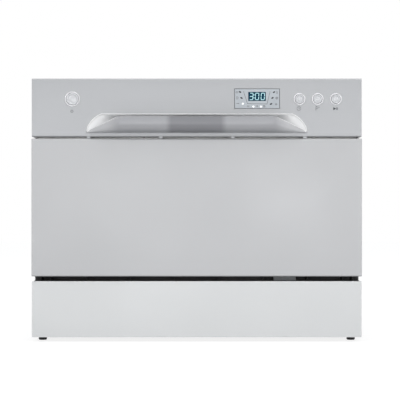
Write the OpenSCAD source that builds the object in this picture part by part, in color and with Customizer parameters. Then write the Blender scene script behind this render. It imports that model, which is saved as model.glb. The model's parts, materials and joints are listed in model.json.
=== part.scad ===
// Countertop dishwasher with a drop door, in millimetres.
// X runs to the right seen from the front, Y to the back, Z up. The origin is on the floor, under the middle.

/* [Overall size] */
// Width of the machine
body_w = 550; // [530:1:600]
// Depth over the handle grip
body_d = 500; // [480:1:560]
// Height over the feet
body_h = 438; // [425:1:480]

/* [Front levels] */
// Height of the feet
foot_h = 8; // [6:0.5:12]
// Height of the kick plate
kick_h = 93.6; // [88:0.1:100]
// Height of the lower edge of the kick plate
kick_low = 7.4; // [5:0.1:8]
// Open gap between kick plate and door
door_gap = 7.5; // [7:0.1:9]
// Height of the console above the door panel
console_h = 97; // [92:0.5:110]
// Gap between door panel and console
split_gap = 3; // [2:0.1:4]
// Width of the snap tabs in that gap
tab_w = 6; // [4:0.5:10]
// Distance between two snap tabs
tab_pitch = 120; // [90:1:130]

/* [Sheets and clearances] */
// Thickness of the casing and door sheets
sheet_t = 1; // [0.8:0.1:1.4]
// Wall of the moulded pieces
mould_t = 2.5; // [2:0.1:3]
// Gap at a seat between two pieces
seat = 0.3; // [0.2:0.05:0.35]
// Radial play of a pin in its bore
pin_play = 0.05; // [0.02:0.01:0.1]

/* [Casing] */
// Radius of the casing's upper edges
casing_r = 8; // [3:1:14]
// Height of the casing's lower edge
casing_low = 20; // [12:1:40]
// Width of the casing's turned-in flanges
flange_w = 12; // [8:1:14]
// Depth of the pressed field in the rear panel
field_depth = 5; // [3:1:8]
// Border around the pressed field
field_border = 55; // [40:1:80]
// How far the rear panel lies inside the casing's edge
rear_inset = 2.5; // [1.5:0.1:3]

/* [Door] */
// Thickness of the closed door
door_t = 48; // [46:1:52]
// Room for the seal between door and cabinet
seal_room = 6; // [5:0.5:8]
// Hinge axis behind the door's front face
hinge_back = 12; // [11:0.5:13]
// Hinge axis above the door's lower edge
hinge_up = 10; // [9:0.5:11]
// Diameter of the hinge pins
hinge_pin_d = 8; // [6:0.5:8]
// Depth of the door panel's upper and lower flanges
door_flange = 20; // [14:1:24]
// Radius of the panel and console edges
edge_r = 2.5; // [1.5:0.25:4]

/* [Handle] */
// How far the grip stands out of the door
grip_out = 24; // [18:1:28]
// Length of the grip's straight upper edge
grip_flat_w = 260; // [220:2:280]
// Length of the grip's lower edge
grip_w = 368; // [340:2:380]
// Height of the grip's face
grip_h = 26.4; // [22:0.2:30]
// Wall of the grip
grip_wall = 3; // [2:0.1:3.5]
// Open slot seen above the grip
grip_slot = 4.4; // [3:0.1:8]
// Grip's lower edge above the console's lower edge
grip_rise = 6.6; // [5:0.1:10]
// Depth of the hollow behind the grip
cup_depth = 22; // [18:1:24]
// Corner radius of the hollow's outline
cup_r = 42; // [38:1:46]
// Width of the finger lever in the hollow
lever_w = 84; // [60:2:110]

/* [Controls] */
// Button centres below the top edge
button_drop = 34.2; // [32:0.1:36]
// Power button from the console's left side
power_in = 68; // [60:0.5:80]
// Last of the three buttons from the console's right side
button_in = 43.6; // [43:0.2:50]
// Distance between the three buttons
button_pitch = 30.2; // [26:0.1:32]
// Diameter of the power button cap
power_d = 20; // [16:0.2:22]
// Diameter of the other button caps
button_d = 14.6; // [12:0.2:16]
// Width of the rings round the caps
ring_w = 2.6; // [2:0.1:3]
// Button travel
button_travel = 2.5; // [1:0.1:3]
// Width of the display plate
plate_w = 75.5; // [70:0.5:80]
// Height of the display plate
plate_h = 33.5; // [30:0.5:36]
// Display plate from the console's right side
plate_in = 174.6; // [170:0.2:180]
// Width of the lit display
lcd_w = 29.3; // [24:0.1:34]
// Height of the lit display
lcd_h = 15; // [12:0.1:18]
// Lit display above the plate's middle
lcd_rise = 3.7; // [0:0.1:6]

/* [Tub] */
// Room between casing and tub at each side
tub_side_gap = 39; // [36:0.5:41]
// Height of the tub floor
tub_low = 140; // [136:1:146]
// Casing top down to the tub ceiling
tub_drop = 26; // [25:1:34]
// Casing back to the tub's rear wall
tub_back_gap = 34; // [30:1:50]
// Radius of the tub's long edges
tub_r = 24; // [12:1:30]
// Width of the door seal
seal_w = 10; // [8:0.5:11]

/* [Water parts] */
// Radius of the filter well
well_r = 95; // [90:1:100]
// Filter well right of the spray hub
well_x = 45; // [40:1:50]
// Filter cup right of the spray hub
cup_x = 85; // [78:1:90]
// Radius of the filter cup
filter_r = 34; // [28:1:38]
// Reach of the spray arm
arm_r = 165; // [120:1:172]
// Radius of the arm's spindle
spindle_r = 8; // [6:0.5:9]
// Radius of the inlet's threaded nose
inlet_r = 13.2; // [12:0.1:14]
// Radius of the drain spigot
drain_r = 10; // [8:0.5:12]
// Depth of the step in the lower back
rear_step = 30; // [26:1:40]
// Travel of the float
float_travel = 8; // [4:0.5:10]
// Radius of the wash pump's motor
pump_r = 42; // [30:1:43]
// Length of the wash pump's motor
pump_l = 137; // [110:1:150]
// Radius of the water heater
heater_r = 26; // [18:1:30]
// Length of the water heater
heater_l = 92; // [70:1:98]
// Width of the softener tank
softener_w = 104; // [90:1:110]
// Depth of the softener tank
softener_d = 110; // [95:1:120]
// Radius of the salt opening
salt_r = 35; // [28:1:37]
// Width of the air break chamber
air_w = 26; // [16:0.5:28]
// Depth of the air break chamber
air_d = 210; // [150:2:240]

/* [Dispenser] */
// Width of the dispenser
disp_w = 190; // [176:1:200]
// Height of the dispenser
disp_h = 92; // [84:1:96]
// Dispenser above the hinge
disp_rise = 86.5; // [80:0.5:90]
// Width of the sliding lid
lid_w = 76; // [68:1:76]
// Radius of the rinse aid opening
rinse_r = 15.7; // [12:0.1:16]

/* [Rack] */
// Room between tub and rack at each side
rack_side_gap = 21; // [20:0.5:23]
// Room between tub and rack at the back
rack_back_gap = 19; // [13:0.5:30]
// Height of the rack's rim above its floor
rack_h = 98; // [80:1:110]
// Rack floor above the tub floor
rack_rise = 52; // [48:1:56]
// Thickness of the rack wires
wire_d = 4; // [3:0.1:5]
// Pitch of the wires that run left to right
wire_pitch = 38; // [34:1:42]
// Height of the plate tines
tine_h = 62; // [40:1:80]
// Distance between two tines
tine_pitch = 27; // [24:0.5:32]
// Wheel radius
wheel_r = 12.7; // [10:0.1:13]
// Wheel axle radius
axle_r = 3; // [2:0.1:4]
// How far the rack rolls out
rack_travel = 150; // [120:1:150]
// Reach of the folding cup shelf
shelf_w = 92; // [70:1:100]
// Width of the cutlery basket
basket_w = 60; // [50:1:64]
// Length of the cutlery basket
basket_l = 220; // [190:1:240]
// Height of the cutlery basket
basket_h = 104; // [90:1:110]

/* [Hidden] */
$fn = 64;
face_y = -body_d / 2 + grip_out;
back_y = body_d / 2;
panel_back = back_y - rear_inset;
door_back = face_y + door_t;
cab_y = door_back + seal_room;
kick_top = kick_low + kick_h;
door_low = kick_top + door_gap;
console_low = body_h - console_h;
panel_top = console_low - split_gap;
hinge_y = face_y + hinge_back;
hinge_z = door_low + hinge_up;
half_w = body_w / 2;
tub_w = body_w - 2 * tub_side_gap;
lining_x = half_w - 3.5;
notch_x = half_w - 14;
notch_top = hinge_z + 46;
arm_t = 3;
tub_top = body_h - tub_drop;
tub_back = back_y - tub_back_gap;
tub_front = cab_y + sheet_t;
button_z = body_h - button_drop;
power_x = half_w - power_in;
buttons = [for (i = [-2:0]) half_w - button_in + i * button_pitch];
plate_x = half_w - plate_in;
board_y = face_y + 23;
plate_z = button_z + 0.6;
lcd_z = plate_z + lcd_rise;
cup_low = console_low + grip_rise;
cup_top = cup_low + grip_h + grip_slot;
cup_mid_x = grip_w / 2 - cup_r + 1.1;
cup_mid_z = cup_low - 8.3;
lever_z = cup_low + 20;
lever_y = face_y + cup_depth - 4;
tray_wall = 3;
tray_front = face_y + 1.2;
tray_back = back_y - rear_step;
tray_x = half_w - sheet_t - seat;
deck_top = kick_top - 1;
step_top = door_low + 3.5;
hub_y = (tub_front + tub_back) / 2;
well_low = tub_low - 8;
pan_low = well_low - 14;
bowl_r = filter_r + 14;
bowl_low = foot_h + 34;
pump_z = foot_h + 52;
outlet_z = foot_h + 47;
inlet_x = half_w - 105;
drain_x = inlet_x - 70;
gland_x = -half_w + 75;
float_x = -tub_w / 2 + 66;
float_y = tub_front + 46;
float_low = tub_low - 23.7 - float_travel;
salt_x = tub_w / 2 - 66;
salt_y = tub_front + 56;
rack_w = tub_w - 2 * rack_side_gap;
rack_front = door_back + 25;
rack_back = tub_back - rack_back_gap;
rack_d = rack_back - rack_front;
rack_z = tub_low + rack_rise;
rack_y = (rack_front + rack_back) / 2;
rack_top = rack_z + rack_h;
rail_z = rack_z + 13;
rail_in = tub_w / 2 - seat - 14;
wheel_z = rail_z + 2 + seat + wheel_r;
wheel_x = rail_in + 2.5;
wheel_w = 7;
front_wheel_y = tub_front + 13.3 + wheel_r + rack_travel;
rear_wheel_y = rack_back - 47;
wire_up = rack_z + wire_d - 0.5;
wall_end = wire_d / 2 + seat;
basket_x = rack_w / 2 - 5 - basket_w;
basket_y = [rack_front + 23, rack_front + 23 + basket_l];
basket_low = rack_z + wire_d * 1.5 + seat - 0.5;
shelf_z = rack_top - 18;
shelf_x = -rack_w / 2 + 6.5;
shelf_y = [rack_front + 75, rack_front + 235];
disp_x = [20 - disp_w / 2, 20 + disp_w / 2];
disp_z = [hinge_z + disp_rise, hinge_z + disp_rise + disp_h];
rinse_x = disp_x[0] + 20;
rinse_z = (disp_z[0] + disp_z[1]) / 2;
lid_travel = 68;
lid_x = [disp_x[1] - 6 - lid_w, disp_x[1] - 6];
lock_z = [body_h - 30, body_h - 4.3];

// Places of the wires, counted from the rack's middle
cross_n = floor((rack_d / 2 - 20) / wire_pitch);
cross_ys = [for (i = [-cross_n:cross_n]) rack_y + i * wire_pitch];
long_pitch = rack_w / 10;
long_xs = [for (i = [-4.5:1:4.5]) i * long_pitch];
tine_n = floor((rack_d / 2 - 35) / tine_pitch);

// Box between two corners, given as ranges along each axis
module block(x, y, z)
    translate([x[0], y[0], z[0]]) cube([x[1] - x[0], y[1] - y[0], z[1] - z[0]]);

// Rectangle given as two ranges
module span(a, b)
    translate([a[0], b[0]]) square([a[1] - a[0], b[1] - b[0]]);

// Flat shape in X and Z, made solid from y0 to y1
module facing(y0, y1)
    translate([0, y1, 0]) rotate([90, 0, 0]) linear_extrude(y1 - y0) children();

// Flat shape in Y and Z, made solid from x0 to x1
module across(x0, x1)
    translate([x0, 0, 0]) rotate([90, 0, 90]) linear_extrude(x1 - x0) children();

// Flat shape in X and Y, made solid from z0 to z1
module level(z0, z1)
    translate([0, 0, z0]) linear_extrude(z1 - z0) children();

module round_y(x, z, r, y0, y1, fn = 64)
    translate([x, y1, z]) rotate([90, 0, 0]) cylinder(r = r, h = y1 - y0, $fn = fn);

module round_x(y, z, r, x0, x1, fn = 64)
    translate([x0, y, z]) rotate([0, 90, 0]) cylinder(r = r, h = x1 - x0, $fn = fn);

module round_z(x, y, r, z0, z1, fn = 64)
    translate([x, y, z0]) cylinder(r = r, h = z1 - z0, $fn = fn);

// Rounded rectangle given as two ranges
module soft_span(a, b, r) {
    span([a[0] + r, a[1] - r], b);
    span(a, [b[0] + r, b[1] - r]);
    for (x = [a[0] + r, a[1] - r], z = [b[0] + r, b[1] - r]) translate([x, z]) circle(r);
}

module both_sides() {
    children();
    mirror([1, 0, 0]) children();
}

// Casing and panels

module casing_outline(inset, low) {
    x = half_w - inset;
    r = casing_r - inset;
    span([-x, x], [low, body_h - casing_r]);
    span([-x + r, x - r], [low, body_h - inset]);
    for (s = [-1, 1]) translate([s * (x - r), body_h - casing_r]) circle(r);
}

module casing_flange(y, low) {
    facing(y, y + sheet_t) difference() {
        casing_outline(0, low);
        span([-half_w + flange_w, half_w - flange_w], [low - 1, body_h - flange_w]);
    }
}

module outer_casing() color("silver") {
    difference() {
        facing(cab_y, back_y) difference() {
            casing_outline(0, casing_low);
            casing_outline(sheet_t, casing_low - 1);
        }
        // the sides stop at the step in the lower back
        block([-half_w - 1, half_w + 1], [tray_back, back_y + 1], [casing_low - 1, deck_top]);
    }
    casing_flange(cab_y, deck_top + 1);
    casing_flange(panel_back - 2 * sheet_t, deck_top + 1);
}

module field_outline(inset)
    soft_span([-half_w + field_border + inset, half_w - field_border - inset],
              [deck_top + 30 + inset, body_h - field_border - inset], 20 - inset);

module rear_panel() color("gainsboro") {
    difference() {
        facing(panel_back - sheet_t, panel_back) casing_outline(sheet_t + seat, deck_top);
        facing(panel_back - 2 * sheet_t, panel_back + 1) field_outline(0);
    }
    facing(panel_back - field_depth, panel_back) difference() {
        field_outline(0);
        field_outline(sheet_t);
    }
    facing(panel_back - field_depth, panel_back - field_depth + sheet_t) field_outline(sheet_t);
}

// Base

module base_tray() color("dimgray") difference() {
    union() {
        // floor, walls and front box
        block([-tray_x, tray_x], [tray_front, tray_back], [foot_h, foot_h + tray_wall]);
        both_sides() {
            block([tray_x - tray_wall, tray_x], [tray_front, tray_back], [foot_h, outlet_z + 5]);
            block([tray_x - tray_wall, tray_x], [tray_front, cab_y - seat], [foot_h, deck_top]);
        }
        block([-tray_x, tray_x], [tray_front, tray_front + tray_wall], [foot_h, deck_top]);
        block([-tray_x, tray_x], [tray_front, cab_y - seat], [deck_top - tray_wall, deck_top]);
        block([-tray_x, tray_x], [cab_y - seat - tray_wall, cab_y - seat],
              [deck_top - tray_wall, step_top]);
        // rear wall and the ledge above the connections
        block([-tray_x, tray_x], [tray_back - tray_wall, tray_back], [foot_h, deck_top - seat]);
        block([-tray_x + 12, tray_x - 12], [tray_back - tray_wall, panel_back],
              [deck_top - tray_wall - seat, deck_top - seat]);
        deck_ribs();
        pump_saddles();
    }
    // holes for the connections
    round_y(inlet_x, outlet_z, inlet_r + seat, tray_back - 5, tray_back + 1);
    round_y(drain_x, outlet_z, drain_r + seat, tray_back - 5, tray_back + 1);
    round_y(gland_x, outlet_z, 7 + seat, tray_back - 5, tray_back + 1);
}

// Ribs that show in the gap under the door
module deck_ribs() {
    rib_y = [hinge_y + 17, cab_y - seat - tray_wall];
    pitch = half_w / 3.69;
    for (i = [0.5:1:2.5]) both_sides() deck_rib(i * pitch, rib_y);
    for (in = [13, 29]) both_sides() deck_rib(half_w - in, rib_y);
}

module deck_rib(x, y) block([x - 1, x + 1], y, [deck_top - 1, kick_top + 6]);

module pump_saddles()
    for (x = [-130, -60]) difference() {
        block([x - 5, x + 5], [hub_y - 30, hub_y + 30], [foot_h + 1, foot_h + 34]);
        round_x(hub_y, pump_z, pump_r + seat, x - 6, x + 6);
    }

module kick_plate() color("whitesmoke") {
    x = half_w - 0.6;
    // face with a rounded upper fold
    across(-x, x) {
        difference() {
            soft_span([face_y, face_y + 30], [kick_top - 30, kick_top], 2);
            soft_span([face_y + 1.2, face_y + 40], [kick_top - 40, kick_top - 1.2], 0.8);
            span([face_y - 1, face_y + 40], [kick_top - 40, kick_top - 15]);
            span([face_y + 1.2, face_y + 40], [kick_top - 40, kick_top + 1]);
        }
        span([face_y, face_y + 1.2], [kick_low, kick_top - 15]);
        // lower hem
        span([face_y, tray_front + 4], [kick_low, foot_h - seat]);
    }
}

module deck_clip() color("silver")
    difference() {
        block([129.5, 166.6], [hinge_y + 17, cab_y - seat - tray_wall - seat],
              [deck_top + seat, kick_top + 6.2]);
        for (x = [141.85, 154.2])
            block([x - 0.6, x + 0.6], [hinge_y, hinge_y + 18], [deck_top, deck_top + 3]);
    }

module feet() color("black")
    for (x = [-260, 260] * half_w / 275, y = [face_y + 40, tray_back - 40])
        translate([x, y, 0]) rotate_extrude() {
            span([0, 5.5], [0, foot_h]);
            span([0, 7], [1.5, foot_h]);
            translate([5.5, 1.5]) circle(1.5);
        }

// Tub

module tub_outline(grow)
    soft_span([-tub_w / 2 - grow, tub_w / 2 + grow], [tub_low - grow, tub_top + grow],
              tub_r + grow);

module tub() color("lightgray") difference() {
    union() {
        facing(tub_front, tub_back) difference() {
            tub_outline(sheet_t);
            tub_outline(0);
        }
        facing(tub_back, tub_back + sheet_t) tub_outline(sheet_t);
        // front frame
        facing(tub_front, tub_front + sheet_t) difference() {
            span([-half_w + 4, half_w - 4], [step_top - 8, body_h - 4]);
            tub_outline(0);
        }
        // dished ring round the filter well
        translate([well_x, hub_y, 0]) rotate_extrude()
            polygon([[well_r, well_low], [well_r + 15, tub_low - sheet_t],
                     [well_r + 17, tub_low - sheet_t], [well_r + 17, tub_low],
                     [well_r + 15, tub_low], [well_r, well_low + sheet_t]]);
    }
    translate([well_x, hub_y, 0]) rotate_extrude()
        polygon([[0, well_low - 5], [well_r, well_low - 5], [well_r, well_low + sheet_t],
                 [well_r + 15, tub_low], [well_r + 15, tub_low + 5], [0, tub_low + 5]]);
    round_z(float_x, float_y, 8 + seat, tub_low - 5, tub_low + 5);
    round_z(salt_x, salt_y, salt_r + seat, tub_low - 5, tub_low + 5);
}

module seal_ring(inset, low) difference() {
    span([-tub_w / 2 - 4 - seal_w + inset, tub_w / 2 + 4 + seal_w - inset],
         [low, tub_top + 3 + seal_w - inset]);
    span([-tub_w / 2 - 4 - inset, tub_w / 2 + 4 + inset], [low - 1, tub_top + 3 - tub_r + inset]);
    span([-tub_w / 2 - 4 + tub_r, tub_w / 2 + 4 - tub_r], [low - 1, tub_top + 3 + inset]);
    for (s = [-1, 1])
        translate([s * (tub_w / 2 + 4 - tub_r), tub_top + 3 - tub_r]) circle(tub_r + inset);
}

module door_seal() color("darkslategray") {
    low = hinge_z + 6;
    facing(tub_front - 2.5, tub_front) seal_ring(0, low);
    facing(door_back + seat, tub_front - 2.5) seal_ring(2, low);
}

module sump() color("dimgray") difference() {
    union() {
        round_z(well_x, hub_y, well_r + 3, pan_low, well_low - seat);
        round_z(cup_x, hub_y, bowl_r, bowl_low, pan_low + 1);
    }
    round_z(well_x, hub_y, well_r - 6, pan_low + 3, well_low + 1);
    round_z(cup_x, hub_y, bowl_r - 3, bowl_low + 3, pan_low + 4);
    round_z(0, hub_y, 9, pan_low - 1, pan_low + 4);
}

module filter_plate() color("silver") difference() {
    round_z(well_x, hub_y, well_r - seat, well_low, well_low + 1.2);
    round_z(0, hub_y, 12 + seat, well_low - 1, well_low + 3);
    round_z(cup_x, hub_y, filter_r + seat, well_low - 1, well_low + 3);
}

module filter_cup() color("slategray") {
    top = well_low + 1.2 + seat;
    difference() {
        union() {
            round_z(cup_x, hub_y, filter_r, bowl_low + 16, top);
            round_z(cup_x, hub_y, filter_r + 4, top, top + 2.5);
        }
        round_z(cup_x, hub_y, filter_r - 2, bowl_low + 18, top + 4);
        // side windows
        for (a = [0:45:135]) translate([cup_x, hub_y, 0]) rotate([0, 0, a])
            block([-5, 5], [-filter_r - 5, filter_r + 5], [bowl_low + 26, top - 8]);
    }
    // lifting bar
    block([cup_x - filter_r + 1, cup_x + filter_r - 1], [hub_y - 2, hub_y + 2], [top - 6, top + 2.5]);
    block([cup_x - 14, cup_x + 14], [hub_y - 2, hub_y + 2], [top, top + 14]);
}

module spray_hub() color("slategray") {
    low = pan_low + 3 + seat;
    top = tub_low + 12;
    difference() {
        union() {
            round_z(0, hub_y, 12, low, top);
            round_z(0, hub_y, 15, well_low + 1.2 + seat, well_low + 4);
        }
        round_z(0, hub_y, 9, low - 1, top - 4);
    }
    round_z(0, hub_y, spindle_r, top - 1, top + 22);
    round_z(0, hub_y, 11, top + 20 + seat, top + 24);
}

module spray_arm() color("gray") {
    low = tub_low + 12 + seat;
    top = low + 20 - seat;
    mid = (low + top) / 2;
    difference() {
        union() {
            round_z(0, hub_y, 18, low, top);
            for (s = [-1, 1]) {
                hull() {
                    translate([s * 14, hub_y, mid]) scale([1, 3, 1]) rotate([0, 90, 0])
                        cylinder(r = 7.5, h = 1, $fn = 24);
                    translate([s * (arm_r - 14), hub_y, mid]) cylinder(r = 14, h = 5, $fn = 32);
                }
                // nozzles along the leading half of each blade
                for (i = [0:4])
                    round_z(s * (38 + i * 24), hub_y + s * (i % 2 == 0 ? 5 : -4), 2.6, mid, top - 1.5, 24);
            }
        }
        round_z(0, hub_y, spindle_r + pin_play, low - 1, top + 1);
    }
}

// Pumps and water parts in the base

module wash_pump() color("darkgray") {
    round_x(hub_y, pump_z, pump_r - 2, -16, 16);
    round_x(hub_y, pump_z, pump_r, -15 - pump_l, -15);
    round_x(hub_y, pump_z, 14, 15, cup_x - bowl_r - seat);
    round_z(0, hub_y, 12, pump_z + 20, pan_low - seat);
}

module drain_pump() color("darkslateblue") {
    x0 = cup_x + bowl_r + seat;
    round_x(hub_y, pump_z + 4, 29, x0, x0 + 18);
    round_x(hub_y, pump_z + 4, 24, x0 + 18, x0 + 62);
    round_z(x0 + 9, hub_y, 8, pump_z + 10, pump_z + 48);
}

module heater() color("silver") {
    y0 = hub_y + bowl_r + seat;
    y1 = y0 + heater_l;
    round_y(cup_x, pump_z, heater_r, y0, y0 + 12);
    round_y(cup_x, pump_z, heater_r - 3, y0 + 11, y1 - 7);
    round_y(cup_x, pump_z, heater_r, y1 - 8, y1);
    // terminals
    for (x = [-10, 10])
        block([cup_x + x - 3, cup_x + x + 3], [y1 - 1, y1 + 10], [pump_z - 0.5, pump_z + 0.5]);
}

module softener() color("lightgray") {
    difference() {
        union() {
            block([salt_x - 48, salt_x - 48 + softener_w], [salt_y - 44, salt_y - 44 + softener_d],
                  [foot_h + tray_wall, tub_low - 12]);
            round_z(salt_x, salt_y, salt_r, tub_low - 13, tub_low + 2);
            round_z(salt_x, salt_y, salt_r + 5, tub_low + seat, tub_low + 3);
        }
        round_z(salt_x, salt_y, salt_r - 4, tub_low - 24, tub_low + 5);
    }
}

module salt_cap() color("slategray") {
    low = tub_low + 3 + seat;
    grip = salt_r - 9;
    round_z(salt_x, salt_y, salt_r - 4 - seat, low - 14, low + 1);
    round_z(salt_x, salt_y, salt_r + 1, low, low + 6);
    block([salt_x - grip, salt_x + grip], [salt_y - 3.5, salt_y + 3.5], [low + 5, low + 16]);
}

module inlet_valve() color("ivory") difference() {
    union() {
        block([inlet_x - 20, inlet_x + 20], [tray_back - 45, tray_back - tray_wall - seat],
              [outlet_z - 20, outlet_z + 20]);
        round_y(inlet_x, outlet_z, inlet_r, tray_back - tray_wall - 1, back_y - 4);
        round_y(inlet_x, outlet_z, 18, tray_back + seat, tray_back + 3);
        round_z(inlet_x, tray_back - 24, 15, outlet_z - 41, outlet_z - 19);
    }
    round_y(inlet_x, outlet_z, 8, tray_back, back_y);
}

module drain_spigot() color("dimgray") difference() {
    union() {
        block([drain_x - 15, drain_x + 15], [tray_back - 30, tray_back - tray_wall - seat],
              [outlet_z - 15, outlet_z + 15]);
        round_y(drain_x, outlet_z, drain_r, tray_back - tray_wall - 1, back_y - 7);
        round_y(drain_x, outlet_z, 15, tray_back + seat, tray_back + 3);
        translate([drain_x, back_y - 4, outlet_z]) rotate([90, 0, 0])
            cylinder(r1 = drain_r - 1.2, r2 = drain_r, h = 3);
    }
    round_y(drain_x, outlet_z, 7, tray_back - 20, back_y);
}

module cord_gland() color("black") difference() {
    union() {
        round_y(gland_x, outlet_z, 7, tray_back - 8, tray_back + 4);
        round_y(gland_x, outlet_z, 10, tray_back + seat, tray_back + 4);
        round_y(gland_x, outlet_z, 10, tray_back - 10, tray_back - tray_wall - seat);
    }
    round_y(gland_x, outlet_z, 4, tray_back - 6, tray_back + 5);
}

module air_break() color("ivory") {
    x1 = -tub_w / 2 - sheet_t - seat;
    y0 = hub_y - 90;
    across(x1 - air_w, x1) soft_span([y0, y0 + air_d], [tub_low + 20, tub_top - 22], 18);
    // hose ends
    for (i = [1:3]) round_z(x1 - air_w / 2, y0 + i * air_d / 4, 7, tub_low - 4, tub_low + 22);
}

module float_switch() color("ivory") {
    difference() {
        union() {
            round_z(float_x, float_y, 8, tub_low - 22, tub_low + 6);
            round_z(float_x, float_y, 12, tub_low - 6, tub_low - 1 - seat);
        }
        round_z(float_x, float_y, 5, tub_low - 30, tub_low + 8);
    }
    difference() {
        block([float_x - 14, float_x + 22], [float_y - 10, float_y + 10],
              [float_low - 16, tub_low - 21]);
        round_z(float_x, float_y, 5, float_low - seat, tub_low);
    }
}

module float() color("slategray") {
    low = tub_low + 6 + seat;
    round_z(float_x, float_y, 4.7, float_low, low + 1);
    translate([float_x, float_y, low]) rotate_extrude() difference() {
        union() {
            span([0, 20], [-4, 12]);
            span([0, 14], [-4, 18]);
            intersection() {
                translate([14, 12]) circle(6);
                span([0, 30], [11, 30]);
            }
        }
        span([8.7, 17.5], [-5, 0]);
        span([4.7, 8.7], [-5, 0]);
    }
}

// Rack rails on the tub walls

module rack_rail() {
    x0 = rail_in;
    x1 = tub_w / 2 - seat;
    y0 = tub_front + 3;
    y1 = rear_wheel_y + wheel_r + 6;
    facing(y0, y1) difference() {
        span([x0, x1], [rail_z, rail_z + 2 * wheel_r + 4.6]);
        span([x0 - 1, x1 - 2], [rail_z + 2, rail_z + 2 * wheel_r + 2.6]);
    }
    // end stops
    block([x0, x1 - 1], [y0, y0 + 10], [rail_z + 1, rail_z + 14]);
    block([x0, x1 - 1], [y1 - 5, y1], [rail_z + 1, rail_z + 14]);
}

module rack_rails() color("silver") both_sides() rack_rail();

module latch_striker() color("silver") {
    z = lock_z[1] - 6.7;
    block([-20, 20], [cab_y - 2, cab_y], [z - 1, body_h - 1.5]);
    difference() {
        block([-14, 14], [cab_y - 24, cab_y - 1], [z, z + 5]);
        block([-9, 9], [cab_y - 20, cab_y - 8], [z - 1, z + 6]);
    }
}

// Hinges

module hinge_bracket() {
    x0 = notch_x + arm_t + 2;
    difference() {
        union() {
            block([notch_x - 3, half_w - 2], [cab_y - 3, cab_y], [step_top + seat, step_top + 48]);
            block([x0, x0 + 4], [hinge_y, cab_y - 2], [step_top + seat, hinge_z + 8]);
            round_x(hinge_y, hinge_z, hinge_pin_d / 2 + 5, x0, x0 + 4);
        }
        round_x(hinge_y, hinge_z, hinge_pin_d / 2 + pin_play, x0 - 1, x0 + 5);
    }
}

module hinge_brackets() color("silver") both_sides() hinge_bracket();

module hinge_arm() {
    x0 = notch_x;
    across(x0, x0 + arm_t) translate([hinge_y, hinge_z]) {
        circle(hinge_pin_d / 2 + 5);
        polygon([[-9, 0], [-4, 42], [34, 42], [34, -4], [4, -8]]);
    }
    round_x(hinge_y, hinge_z, hinge_pin_d / 2, x0 + 1, x0 + arm_t + 7);
}

module hinge_arms() color("silver") both_sides() hinge_arm();

// Door

// Section of a folded front piece: rounded front edges, open at the back
module front_fold(low, top, wall, back) difference() {
    union() {
        span([face_y + edge_r, back], [low, top]);
        span([face_y, face_y + edge_r + 1], [low + edge_r, top - edge_r]);
        for (z = [low + edge_r, top - edge_r]) translate([face_y + edge_r, z]) circle(edge_r);
    }
    span([face_y + wall, back + 1], [low + wall, top - wall]);
}

module door_panel() color("silver") difference() {
    union() {
        across(-half_w, half_w) front_fold(door_low, panel_top, sheet_t, face_y + door_flange);
        both_sides() across(half_w - sheet_t, half_w) intersection() {
            front_fold(door_low, panel_top, 40, door_back - 2);
            span([face_y, door_back - 2], [door_low, panel_top]);
        }
    }
    // room for the hinges at the lower corners
    both_sides() block([notch_x - 6, half_w - sheet_t], [face_y + edge_r, door_back],
                       [door_low - 1, door_low + sheet_t + 1]);
}

module recess_outline(inset) intersection() {
    union() {
        span([-cup_mid_x, cup_mid_x], [cup_mid_z, cup_mid_z + cup_r - inset]);
        for (s = [-1, 1]) translate([s * cup_mid_x, cup_mid_z]) circle(cup_r - inset);
    }
    span([-300, 300], [cup_low + inset, cup_top - inset]);
}

module control_panel() color("silver") {
    x = half_w - 0.5;
    difference() {
        union() {
            across(-x, x) front_fold(console_low, body_h, mould_t, door_back);
            both_sides() across(x - mould_t, x) front_fold(console_low, body_h, 60, door_back);
            board_posts();
        }
        // the lower flange is as deep as the door panel's
        block([-x + mould_t, x - mould_t], [face_y + door_flange, door_back + 1],
              [console_low - 1, console_low + mould_t + 1]);
        facing(face_y - 1, face_y + mould_t + 1) recess_outline(0);
        console_holes();
    }
    snap_tabs();
}

module board_posts()
    for (x = [plate_x - 44, buttons[2] + 12], z = [button_z - 17, button_z + 23])
        round_y(x, z, 4, face_y + 1, board_y, 32);

module console_holes() {
    round_y(-power_x, button_z, power_d / 2 + seat + 0.7, face_y - 1, face_y + 4);
    for (x = buttons) round_y(x, button_z, button_d / 2 + seat + 0.7, face_y - 1, face_y + 4);
    // shallow bed of the display plate and the opening behind it
    block([plate_x - plate_w / 2 - seat, plate_x + plate_w / 2 + seat], [face_y - 1, face_y + 1],
          [plate_z - plate_h / 2 - seat, plate_z + plate_h / 2 + seat]);
    block([plate_x - lcd_w / 2 - 3, plate_x + lcd_w / 2 + 3], [face_y - 1, face_y + 4],
          [lcd_z - lcd_h / 2 - 3, lcd_z + lcd_h / 2 + 3]);
}

// Tabs on the console's lower edge that hook behind the door panel
module snap_tabs()
    for (i = [-1.5:1:1.5]) {
        x = [i * tab_pitch - tab_w / 2, i * tab_pitch + tab_w / 2];
        y = face_y + sheet_t + seat;
        block(x, [y, y + 2.5], [panel_top + seat, console_low + 1]);
    }

module handle_cup() color("whitesmoke") difference() {
    union() {
        cup_solid(seat, 0);
        cup_ears();
    }
    difference() {
        cup_solid(2 + seat, 2);
        cup_ears();
    }
    round_x(lever_y, lever_z, 1.5 + pin_play, -lever_w / 2 - 4, lever_w / 2 + 4, 32);
}

// Solid of the hollow: the outline on the door's face, tapering to a smaller back
module cup_solid(inset, wall) hull() {
    facing(face_y - wall * 0.1, face_y + 0.1 - wall * 0.05) recess_outline(inset);
    facing(face_y + cup_depth + 1.9 - wall, face_y + cup_depth + 2 - wall)
        soft_span([-grip_flat_w / 2 + inset, grip_flat_w / 2 - inset],
                  [cup_low + 3 + inset, cup_top - 1 - inset], 6, $fn = 32);
}

module cup_ears() both_sides()
    block([lever_w / 2 + seat, lever_w / 2 + 3], [lever_y - 4, face_y + cup_depth + 1],
          [lever_z - 4, lever_z + 4]);

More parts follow.
